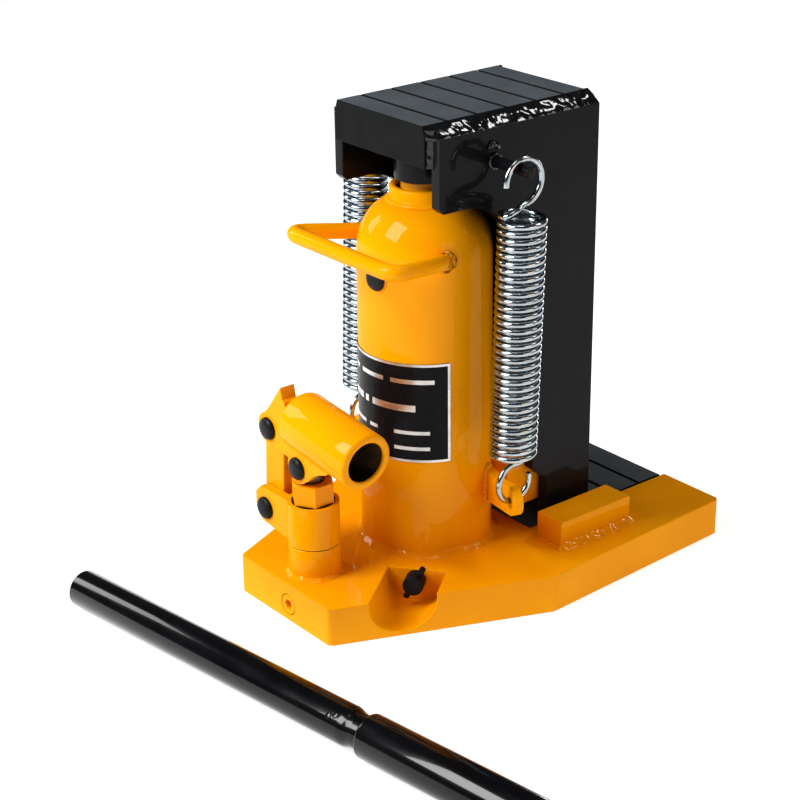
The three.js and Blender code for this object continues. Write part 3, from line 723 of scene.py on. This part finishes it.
def build_rating_plate():
    """A black plate with a silver border, and plain silver bars in place of lettering."""
    edge, low, high, rim = 71.3, 109.5, 187.4, 1.9
    rim_angle = math.degrees(rim / CYL_R)
    sheet = bent_patch(-edge, edge, low, high, CYL_R + 0.05, CYL_R + 0.55, 96)
    add("rating_sheet", sheet, "base_frame", LABEL, ["rating_plate"], angle=30)
    strips = [
        (-edge, edge, high - rim, high, 96), (-edge, edge, low, low + rim, 96),
        (-edge, -edge + rim_angle, low, high, 4), (edge - rim_angle, edge, low, high, 4),
    ]
    for i, (a, b, z0, z1, count) in enumerate(strips):
        border = bent_patch(a, b, z0, z1, CYL_R + 0.5, CYL_R + 0.75, count)
        add(f"rating_border_{i}", border, "base_frame", SILVER, angle=30)
    lines = [
        (173.5, 3.4, [(-62, -45), (-39, -22), (-15, 13), (20, 58)]),
        (152.5, 5.2, [(-42, -14), (-10, -5), (0, 42)]),
        (133.0, 2.9, [(-56, -10), (-4, 6), (23, 54)]),
        (120.4, 2.9, [(-56, -10), (-4, 1), (23, 54)]),
    ]
    for row, (z, height, spans) in enumerate(lines):
        for k, (a, b) in enumerate(spans):
            mark = bent_patch(a, b, z - height / 2, z + height / 2, CYL_R + 0.5, CYL_R + 0.62, 16)
            add(f"rating_mark_{row}_{k}", mark, "base_frame", SILVER, angle=30)


# ---------- springs ----------
def spring_path():
    """The wire's centre line in the spring's own frame: lower hook, coil, upper loop."""
    low, high = COIL_BOTTOM + WIRE_R, COIL_TOP - WIRE_R
    first, last = math.radians(110), math.radians(250)
    sweep = last - first + 2 * math.pi * COIL_TURNS
    steps = int(sweep / math.radians(14))
    coil = []
    for i in range(steps + 1):
        a = first + sweep * i / steps
        z = low + (high - low) * i / steps
        coil.append(Vector((COIL_R * math.cos(a), COIL_R * math.sin(a), z)))
    over = [(-1.0, -15.4, 0.8), (2.2, -11.8, 2.9), (2.2, -6.0, 5.6)]
    lead_in = [Vector((x, -y, low - z)) for x, y, z in reversed(over)]
    lead_out = [Vector((x, y, high + z)) for x, y, z in over]
    down = [math.radians(d) for d in range(374, 92, -12)]
    hook = [Vector((0, 2 + HOOK_R * math.cos(a), HOOK_R + HOOK_R * math.sin(a))) for a in down]
    up = [math.radians(d) for d in range(-90, 196, 12)]
    loop = [Vector((0, LOOP_R * math.cos(a), LOOP_Z + LOOP_R * math.sin(a))) for a in up]
    start = smooth_path(hook + lead_in + coil[:2], 2)
    end = smooth_path(coil[-2:] + lead_out + loop, 2)
    return start + coil[2:-2] + end


def lug_mesh():
    """The right lug: a plate from the reservoir out to a rounded end with the hook's hole."""
    outline = [(-52, 7), (-18, 7), *arc((0, 0), 11.5, 109, -90, 16), (-52, -20)]
    obj = make_object("lug", prism(outline, -3.5, 3.5, "y"))
    place = Matrix.Translation(Vector((88, 10.4, 83.5)) * MM)
    obj.data.transform(place @ Matrix.Rotation(math.radians(-18), 4, "Z"))
    hole = turned(lathe([(0, -15), (4.4, -15), (4.4, 25), (0, 25)], 32), Y, (88, 5, 82.4))
    inside = lathe([(0, 50), (CYL_R - 0.8, 50), (CYL_R - 0.8, 120), (0, 120)], 64)
    return combine(obj, "DIFFERENCE", hole, inside)


def mirror_object(obj):
    obj.data.transform(Matrix.Scale(-1, 4, X))
    obj.data.flip_normals()


def build_springs():
    lean = Matrix.Rotation(-SPRING_LEAN, 4, "X")
    line = [SPRING_AT + lean @ p for p in spring_path()]
    for side, sign in SIDES:
        lug = lug_mesh()
        build_spring(side, sign, line)
        build_peg(side, sign)
        build_lug(side, sign, lug)
        weld_peg(side, sign)
        weld_lug(side, sign)


def build_spring(side, sign, line):
    bm = tube(line, WIRE_R, 12)
    if sign < 0:
        mirrored(bm)
    spring = make_object(f"return_spring_{side}", bm)
    spring.data.materials.append(ZINC)
    for face in spring.data.polygons:
        face.use_smooth = True
    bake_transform(spring)
    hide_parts(f"{side}_return_spring")


def build_peg(side, sign):
    shank = lathe(rounded([(0, -1), (4, -1), (4, 37.4), (0, 37.4)], 0.7), 28)
    peg = turned(shank, X, (SIDE_OUT, PEG_Y, PEG_Z))
    if sign < 0:
        mirrored(peg)
    add(f"spring_peg_{side}", peg, "carriage", BLACK, [f"{side}_spring_peg"], angle=40)


def build_lug(side, sign, lug):
    if sign < 0:
        mirror_object(lug)
    piece(lug, "base_frame", YELLOW, [f"{side}_spring_lug"], bevel=0.7)
    lug.name = f"spring_lug_plate_{side}"


def weld_peg(side, sign):
    """The ring of weld at the peg's root, and the lump of weld above it."""
    turn = [2 * math.pi * i / 24 for i in range(24)]
    ring = [(sign * 60.2, PEG_Y + 5.0 * math.cos(a), PEG_Z + 5.0 * math.sin(a)) for a in turn]
    bead(f"peg_weld_{side}", ring, 1.5, "carriage", WELD_BLACK, True, seed=21 + sign, step=0.7)
    lump = [(59.8, 8.5, 345.5), (60.2, 12, 348.5), (60.2, 16, 346.8), (59.8, 19.5, 343.5)]
    blob = [(sign * x, y, z) for x, y, z in lump]
    bead(f"peg_blob_{side}", blob, 2.3, "carriage", WELD_BLACK, seed=25 + sign, step=0.7)


def weld_lug(side, sign):
    root = [
        (46.9, 18.6, 64), (46.9, 18.8, 72), (46.7, 19.0, 80),
        (46.5, 19.6, 88), (45.8, 22.5, 91.6), (44.6, 26.5, 91.6),
    ]
    seam = smooth_path([(sign * x, y, z) for x, y, z in root], 2)
    bead(f"lug_weld_{side}", seam, 3.3, "base_frame", WELD_YELLOW, ripple=0.10, seed=31 + sign)


# ---------- carriage ----------
def groove(y, half, top, width=2.4, depth=2.2):
    return block((-half, half), (y - width / 2, y + width / 2), (top - depth, top + 1))


def side_outline():
    fillet = arc((-14, 255.4), 50, 90, 0, 22)
    return [
        (-35.1, SIDE_TOP), (-35.1, 309.4), (-31.1, 305.4), *fillet,
        (56, 110), (56, 84), (71, 71), (71, 31.3), (SIDE_REAR, 31.3), (SIDE_REAR, SIDE_TOP),
    ]


def build_carriage():
    build_head()
    for side, sign in SIDES:
        build_side(side, sign)
    rear = block((-HEAD_HALF, HEAD_HALF), (106.7, 116.2), (30.9, 337.8))
    add("back_plate", rear, "carriage", BLACK, ["rear_plate"], bevel=0.8)
    build_toe()
    under = [(x, 105.9, 337.2) for x in range(-46, 47, 3)]
    bead("head_back_weld", under, 2.6, "carriage", WELD_BLACK, seed=73)


def build_head():
    """The head plate, with sloped top edges under the welds and five grooves across."""
    flat_half, slope_z = 47.9, 361.1
    outline = [
        (-HEAD_HALF, HEAD_BOTTOM), (HEAD_HALF, HEAD_BOTTOM), (HEAD_HALF, slope_z),
        (flat_half, HEAD_TOP), (-flat_half, HEAD_TOP), (-HEAD_HALF, slope_z),
    ]
    plate = make_object("head", prism(outline, HEAD_FRONT, HEAD_REAR, "y"))
    middle = (HEAD_REAR + HEAD_FRONT) / 2
    combine(plate, "DIFFERENCE", *[groove(middle + i * 27.6, 52, HEAD_TOP) for i in (-2, -1, 0, 1, 2)])
    piece(plate, "carriage", TOP_BLACK, ["head_plate"], bevel=0.7)


def build_side(side, sign):
    """A side plate, with its welds to the head's top, the head's front corner and the rear plate."""
    xs = sorted((sign * SIDE_IN, sign * SIDE_OUT))
    sheet = prism(side_outline(), xs[0], xs[1], "x")
    add(f"side_plate_{side}", sheet, "carriage", BLACK, [f"{side}_side_plate"], bevel=0.9)
    rows = []
    for y in range(-40, 117):
        reach = 50.8 + 8.5 * min(1, (y + 40) / 8)
        rows.append(((sign * 46.8, y, 368.0), (sign * reach, y, 359.2), (sign * 1.0, 0, 1.0)))
    strip(f"head_weld_{side}", rows, "carriage", WELD_BLACK, 0.8, 1.1, 41 + sign, 367.95)
    away = (sign * 0.4, -1.0, 0)
    rows = [((sign * 47.5, -40.6, z), (sign * 53.5, -35.6, z), away) for z in range(338, 366)]
    strip(f"corner_weld_{side}", rows, "carriage", WELD_BLACK, 0.6, 1.1, 61 + sign)
    back_seam = [(sign * 50.6, 117.0, z) for z in range(36, 356, 8)]
    bead(f"back_weld_{side}", back_seam, 2.0, "carriage", WELD_BLACK, seed=65 + sign)


def build_toe():
    outline = [(82, 3), (TOE_FRONT, 3), (TOE_FRONT, 26), (204.5, TOE_TOP), (82, TOE_TOP)]
    toe = make_object("toe", prism(outline, -TOE_HALF, TOE_HALF, "x"))
    combine(toe, "DIFFERENCE", *[groove(208.5 - i * 28.2, 54, TOE_TOP) for i in (1, 2)])
    piece(toe, "carriage", TOP_BLACK, ["toe_jaw"], bevel=0.7)
    corner_line = [(x, 117.4, 31.2) for x in range(-48, 49, 3)]
    bead("toe_back_weld", corner_line, 2.6, "carriage", WELD_BLACK, seed=71)


def build_ram():
    shaft = rounded([(0, 46.3), (17, 46.3), (17, 313.7), (0, 313.7)], 0.8)
    add("ram_shaft", lathe(shaft, 96), "carriage", RAM, ["ram"], angle=40)
    cap = rounded([(0, 314), (22, 314), (22, 338.2), (0, 338.2)], 0.9)
    add("saddle", lathe(cap, 96), "carriage", BLACK, ["ram_saddle"], angle=40)


# ---------- pump ----------
def pump_disc(profile, count=72):
    bm = lathe(profile, count)
    bmesh.ops.translate(bm, vec=PUMP, verts=bm.verts)
    return bm


def pin_hole(at, radius, reach=20):
    hole = lathe([(0, -reach), (radius, -reach), (radius, reach), (0, reach)], 32)
    return turned(hole, Y, PUMP + Vector((at[0], 0, at[1])))


def pump_prism(points, lo, hi):
    bm = prism(points, lo, hi, "y")
    bmesh.ops.translate(bm, vec=PUMP, verts=bm.verts)
    return bm


def build_pump():
    """The boss on the base, the collar with its two ears, and dark gaps between the stacked parts."""
    boss_foot, boss_top = BASE_TOP - 0.2, 55.3
    boss = rounded([(9, boss_foot), (COLLAR_R, boss_foot), (COLLAR_R, boss_top), (9, boss_top)], 1.0)
    add("boss", pump_disc(boss), "base_frame", YELLOW, ["pump_boss"], angle=40)
    foot = PUMP + Z * BASE_TOP
    foot_weld("boss_weld", foot, COLLAR_R, 3.2, 4.0, "base_frame", WELD_YELLOW, 8)
    disc = [(0, COLLAR_BOTTOM), (COLLAR_R, COLLAR_BOTTOM), (COLLAR_R, COLLAR_TOP), (0, COLLAR_TOP)]
    body = make_object("collar", pump_disc(disc))
    ear = [(-10, 56.5), *arc(LINK_BOTTOM, 12.7, -90, -180, 14), (-51.3, 82), (-45, 88.3), (-10, 88.3)]
    combine(body, "UNION", pump_prism(ear, -EAR_HALF, EAR_HALF))
    slot = pump_prism([(-60, 50), (-18.9, 50), (-18.9, 100), (-60, 100)], -SLOT_HALF, SLOT_HALF)
    bore = pump_disc([(0, 50), (12, 50), (12, 100), (0, 100)])
    combine(body, "DIFFERENCE", slot, bore)
    piece(body, "base_frame", YELLOW, ["pump_collar"], bevel=1.0, angle=40)
    build_gland_nut()
    add_pin("ear", LINK_BOTTOM, EAR_HALF, "base_frame", ["ear_pin"], ["ear_pin_clip"])
    shim = [(11.9, 88.4), (16.2, 88.4), (16.2, 89.3), (11.9, 89.3)]
    add("nut_shadow_gap", pump_disc(shim), "base_frame", KNOB, slot="rubber")
    shim = [(9.1, 55.0), (18.9, 55.0), (18.9, 56.2), (9.1, 56.2)]
    add("collar_shadow_gap", pump_disc(shim), "base_frame", KNOB, slot="rubber")


def build_gland_nut():
    hexagon = prism(arc((0, 0), 16.6, 30, 330, 5), 88.9, 105)
    bmesh.ops.translate(hexagon, vec=PUMP, verts=hexagon.verts)
    nut = make_object("gland_nut", hexagon)
    dome_cut = pump_disc([(0, 80), (17.5, 80), (17.5, 102.6), (14.6, 105.2), (0, 105.2)])
    combine(nut, "INTERSECT", dome_cut)
    combine(nut, "DIFFERENCE", pump_disc([(0, 80), (8.5, 80), (8.5, 120), (0, 120)]))
    piece(nut, "base_frame", YELLOW, ["pump_gland_nut"], bevel=0.6)


def add_pin(name, at, outer, body, nodes, clips):
    """A pivot pin with a domed black head in front and a washer and split pin behind."""
    middle = PUMP + Vector((at[0], 0, at[1]))
    front, back = -outer, outer
    outline = [
        (0, front - 4.4), (3.4, front - 4.25), (6.2, front - 3.7), (7.9, front - 2.7), (8.6, front - 1.5),
        (8.6, front - 0.3), (4.7, front - 0.3), (4.7, back + 3.6), (4.1, back + 4.2), (0, back + 4.2),
    ]
    pin = turned(lathe(outline, 48), Y, middle)
    add(f"{name}_pivot", pin, body, PIN_BLACK, nodes, angle=50)
    ring = rounded([(5.0, back + 0.3), (7.7, back + 0.3), (7.7, back + 1.7), (5.0, back + 1.7)], 0.3)
    washer = turned(lathe(ring, 36), Y, middle)
    add(f"{name}_washer", washer, body, STEEL, clips, angle=40)
    bends = ((-7.4, -1.5), (-5.8, 0.4), (0, 0.5), (5.8, 0.4), (7.8, 2.2))
    wire = [(at[0] + dx, back + 2.9, at[1] + dz) for dx, dz in bends]
    cotter = tube([PUMP + Vector(p) for p in smooth_path(wire, 2)], 0.8, 10)
    add(f"{name}_split_pin", cotter, body, STEEL, angle=60)


def build_linkage():
    """The plunger, with flats and a clearance slot at its eye, and the rocking link."""
    rod = rounded([(0, 34), (8, 34), (8, 112), (7.4, 122), (0, 125.5)], 1.0)
    plunger = make_object("plunger_rod", pump_disc(rod, 48))
    slot = pump_prism([(-6.7, 112.5), (6.7, 112.5), (6.7, 123.5), (-6.7, 123.5)], -12, 12)
    sides = ((-12, -7.4), (7.4, 12))
    flats = [block((-10, 10), (PUMP.y + a, PUMP.y + b), (105.3, 140)) for a, b in sides]
    combine(plunger, "DIFFERENCE", slot, *flats)
    piece(plunger, "plunger", PLUNGER, ["pump_plunger"], bevel=0.5, angle=45)
    end_r, hole_r, half = 11.5, 4.9, 7.6
    line = Vector(LINK_TOP) - Vector(LINK_BOTTOM)
    lean = math.degrees(math.atan2(line.y, line.x))
    top = arc(LINK_TOP, end_r, lean - 90, lean + 90, 18)
    bottom = arc(LINK_BOTTOM, end_r, lean + 90, lean + 270, 18)
    bar = make_object("link_bar", pump_prism([*top, *bottom], -half, half))
    combine(bar, "DIFFERENCE", pin_hole(LINK_TOP, hole_r), pin_hole(LINK_BOTTOM, hole_r))
    piece(bar, "link", YELLOW, ["pump_link"], bevel=1.2)


def socket_shape(profile, count=72):
    """A shape turned about the socket's axis, with height 0 at the mouth and positive outwards."""
    return turned(lathe(profile, count), SOCKET_DIR, MOUTH)


def build_socket():
    r, b, length = SOCKET_R, SOCKET_BORE, SOCKET_LENGTH
    shell = [
        (b, -length), (r - 3.0, -length), (r - 1.0, -length + 0.8), (r, -length + 3.0), (r, -2.4),
        (r - 0.5, -0.9), (r - 1.6, 0), (b + 1.2, 0), (b + 0.3, -0.4), (b, -1.2),
    ]
    tube_shape = socket_shape(shell, 96)
    add("socket_tube", tube_shape, "lever", YELLOW, ["lever_socket"], angle=60)
    sleeve = [(b - 0.15, -length + 1), (b + 0.6, -length + 1), (b + 0.6, -2.5), (b - 0.15, -2.0)]
    add("socket_bore", socket_shape(sleeve, 72), "lever", BORE, angle=60)


def cheek_shape(name, lo, hi):
    """One cheek of the lever. The front one also carries the upright tab."""
    outline = [
        (-34.5, 154.3), *arc(LINK_TOP, 12.5, 111.6, 255.6, 22),
        (-11, 123), *arc(LEVER_PIN, 12, 167.4, 315, 20),
        (13, 112.5), (18.5, 118), (26, 121.8), (34, 124.6), (40, 130), (34, 140), (-14, 163),
    ]
    cheek = make_object(f"cheek_{name}", pump_prism(outline, lo, hi))
    if name == "front":
        tab_top = [(-13.5, 165), (-16.3, 166.7), (-18.2, 175.5)]
        horn = [(-34.5, 154.3), (-32, 150), (-20, 150), (-12.5, 160), *tab_top]
        combine(cheek, "UNION", pump_prism(horn, -CHEEK_HALF, -SLOT_HALF))
        tip = [(-30.8, 159), (-14.0, 161), (-13.6, 165), (-16.3, 166.7), (-18.2, 175.5)]
        combine(cheek, "UNION", pump_prism(tip, -CHEEK_HALF + 0.01, -0.6))
    core_r, core_end = SOCKET_BORE + 2.5, -SOCKET_LENGTH - 1.5
    core = [(0, core_end), (core_r, core_end), (core_r, 5), (0, 5)]
    return combine(cheek, "DIFFERENCE", socket_shape(core, 48))


def weld_cheek(name, offset):
    """A bead under the socket, along a cheek's outer face."""
    drop = math.sqrt(SOCKET_R ** 2 - offset ** 2) + 0.2
    down = Vector((-math.sin(SOCKET_TILT), 0, -math.cos(SOCKET_TILT)))
    aside = Vector((0, offset * 0.98, 0))
    stations = (4, 15, 30, 45)
    seam = [MOUTH + SOCKET_DIR * (-SOCKET_LENGTH + t) + aside + down * drop for t in stations]
    bead(f"cheek_weld_{name}", seam, 1.3, "lever", YELLOW, ripple=0.08, seed=91)


def build_lever():
    build_socket()
    cheeks = (("front", -CHEEK_HALF, -SLOT_HALF, -CHEEK_HALF), ("rear", SLOT_HALF, CHEEK_HALF, CHEEK_HALF))
    for name, lo, hi, offset in cheeks:
        cheek = cheek_shape(name, lo, hi)
        piece(cheek, "lever", YELLOW, [f"lever_cheek_{name}"], bevel=0.9)
        weld_cheek(name, offset)
    add_pin("link", LINK_TOP, CHEEK_HALF, "lever", ["link_pin"], ["link_pin_clip"])
    add_pin("plunger", LEVER_PIN, CHEEK_HALF, "lever", ["plunger_pin"], ["plunger_pin_clip"])


# ---------- release valve ----------
def build_valve():
    """The release valve's black knob and the cross pin through it."""
    outline = rounded([(0, -26), (4, -26), (4, 3), (7.7, 3.4), (7.7, 16.4), (0, 16.4)], 1.0)
    knob = turned(lathe(outline, 48), VALVE_DIR, VALVE_AT)
    add("valve_knob", knob, "release_valve", KNOB, ["release_valve_stem"], angle=40)
    level = Vector((-VALVE_DIR.y, VALVE_DIR.x, 0))
    tilt = math.radians(62)
    across = level * math.cos(tilt) + Z * math.sin(tilt)
    outline = rounded([(0, -14.5), (2.3, -14.5), (2.3, 14.5), (0, 14.5)], 0.5)
    rod = turned(lathe(outline, 24), across, VALVE_AT + VALVE_DIR * 9.5)
    add("valve_bar", rod, "release_valve", KNOB, ["release_cross_pin"], angle=40)


# ---------- loose handle ----------
def bar_shape(profile):
    return turned(lathe(profile, 72), BAR_DIR, BAR_AT)


def build_bar():
    """A bar in two tubes, the thinner one plugged into the thicker and crimped near its end."""
    lower = [
        (11.8, 0.1), (13.3, 0.1), (14.0, 0.4), (14.25, 1.2), (14.25, 281), (14.1, 283.5), (13.2, 286.5),
        (12.5, 289), (12.2, 291.5), (12.2, 339), (9.7, 339), (9.7, 288), (11.8, 280),
    ]
    upper = [
        (12.4, 300), (13.6, 299), (15.0, 299.2), (15.7, 300), (16, 301.4), (16, 499), (15.3, 500), (14, 500),
        (14, 305), (12.4, 305),
    ]
    for name, profile in (("lower", lower), ("upper", upper)):
        add(f"bar_{name}", bar_shape(profile), "pump_handle", BAR_BLACK, [f"handle_{name}_tube"], angle=50)
    side = BAR_DIR.cross(Z).normalized()
    for i, (along, turn) in enumerate(((272.5, 40), (272.5, 220), (277.5, 50))):
        a = math.radians(turn)
        out = side * math.cos(a) + Z * math.sin(a)
        dimple = lathe(rounded([(0, -1), (2.6, -1), (2.2, 0.7), (0, 0.9)], 0.4), 24)
        turned(dimple, out, BAR_AT + BAR_DIR * along + out * 14.2)
        add(f"bar_crimp_{i}", dimple, "pump_handle", BAR_BLACK, angle=50)


# ---------- carried-over CAD nodes ----------
def finish_cad_nodes():
    """Gives the CAD nodes that still show, all of them inside the body, a finish of their own."""
    finishes = {slot: group[0] for slot, group in SLOTS.items()}
    slots = {s["node"]: s["material_slot"] for s in frame["record"]["subparts"]}
    for name, node in frame["nodes"].items():
        if node.hide_render:
            continue
        node.data.materials.clear()
        node.data.materials.append(finishes[slots[name]])


# ---------- stage ----------
def build_floor():
    bm = bmesh.new()
    bmesh.ops.create_grid(bm, x_segments=1, y_segments=1, size=9000)
    floor = make_object("floor", bm)
    s = Shader("floor_white")
    s.set(Base_Color=rgb(0.55, 0.55, 0.55), Roughness=0.9, Specular_IOR_Level=0.1)
    s.set(Emission_Color=rgb(1, 1, 1), Emission_Strength=0.62)
    floor.data.materials.append(s.material)
    floor.location.z = -0.0002


def build_world():
    """A backdrop that is white to the camera, dark to reflections, and a soft fill to the rest."""
    world = bpy.data.worlds.new("studio")
    bpy.context.scene.world = world
    world.use_nodes = True
    tree = world.node_tree
    back = tree.nodes["Background"]
    path = tree.nodes.new("ShaderNodeLightPath")
    colour = rgb(*FILL)
    for ray, shade in (("Is Glossy Ray", REFLECTED), ("Is Camera Ray", (1, 1, 1))):
        mix = tree.nodes.new("ShaderNodeMix")
        mix.data_type = "RGBA"
        tree.links.new(path.outputs[ray], mix.inputs[0])
        if isinstance(colour, tuple):
            mix.inputs[6].default_value = colour
        else:
            tree.links.new(colour, mix.inputs[6])
        mix.inputs[7].default_value = rgb(*shade)
        colour = mix.outputs[2]
    tree.links.new(colour, back.inputs["Color"])
    back.inputs["Strength"].default_value = 1.0


def area_light(name, azimuth, elevation, distance, width, height, power, colour=(1, 1, 1)):
    """A softbox that faces the jack. Azimuth 0 is in front of the pump, at -Y, and 90 is at +X."""
    a, e = math.radians(azimuth), math.radians(elevation)
    line = Vector((math.sin(a) * math.cos(e), -math.cos(a) * math.cos(e), math.sin(e)))
    data = bpy.data.lights.new(name, "AREA")
    data.shape = "RECTANGLE"
    data.size, data.size_y = width, height
    data.energy = power
    data.color = colour
    light = bpy.data.objects.new(name, data)
    light.location = Vector((0, 0, 0.16)) + line * distance
    light.rotation_mode = "QUATERNION"
    light.rotation_quaternion = (-line).to_track_quat("-Z", "Y")
    bpy.context.scene.collection.objects.link(light)


def build_lights():
    # Each row is a name, azimuth, elevation, distance, width, height and power, then any tint.
    area_light("key", -14, 40, 2.2, 1.0, 1.3, 43)
    area_light("left", -68, 22, 2.2, 0.6, 0.9, 8)
    area_light("top", 30, 80, 2.0, 0.6, 0.6, 3)
    area_light("side", 140, 36, 2.4, 0.6, 0.9, 4, (1.0, 0.90, 0.80))
    area_light("fill", 98, 16, 2.4, 1.5, 0.7, 7, (1.0, 0.74, 0.55))
    area_light("low", 200, 3, 2.4, 0.5, 0.3, 5)
    area_light("rim", 170, 53, 2.4, 0.35, 0.35, 4)


def build_camera():
    """The camera, with its place solved from the jack's straight edges."""
    azimuth, elevation, roll = (math.radians(v) for v in (51.2757, 23.494, -0.739))
    distance, shift_right, shift_up, middle_z = 1433.57, -19.345, -42.017, 184
    flat = math.cos(elevation)
    back = Vector((math.sin(azimuth) * flat, -math.cos(azimuth) * flat, math.sin(elevation)))
    right = Vector((math.cos(azimuth), math.sin(azimuth), 0))
    up = back.cross(right)
    target = Vector((0, 0, middle_z)) + right * shift_right + up * shift_up
    across = right * math.cos(roll) + up * math.sin(roll)
    above = -right * math.sin(roll) + up * math.cos(roll)
    data = bpy.data.cameras.new("camera")
    data.lens, data.sensor_width = 86.33, 36.0
    data.clip_start, data.clip_end = 0.05, 60
    camera = bpy.data.objects.new("camera", data)
    matrix = Matrix((across, above, back)).transposed().to_4x4()
    matrix.translation = (target + back * distance) * MM
    camera.matrix_world = matrix
    bpy.context.scene.collection.objects.link(camera)
    bpy.context.scene.camera = camera


build_camera()
build_base()
build_reservoir()
build_carry_handle()
build_fittings()
build_rating_plate()
build_springs()
build_carriage()
build_ram()
build_pump()
build_linkage()
build_lever()
build_valve()
build_bar()
finish_cad_nodes()
build_floor()
build_world()
build_lights()
bpy.context.scene.view_settings.view_transform = "Standard"
bpy.context.scene.view_settings.look = "Medium High Contrast"
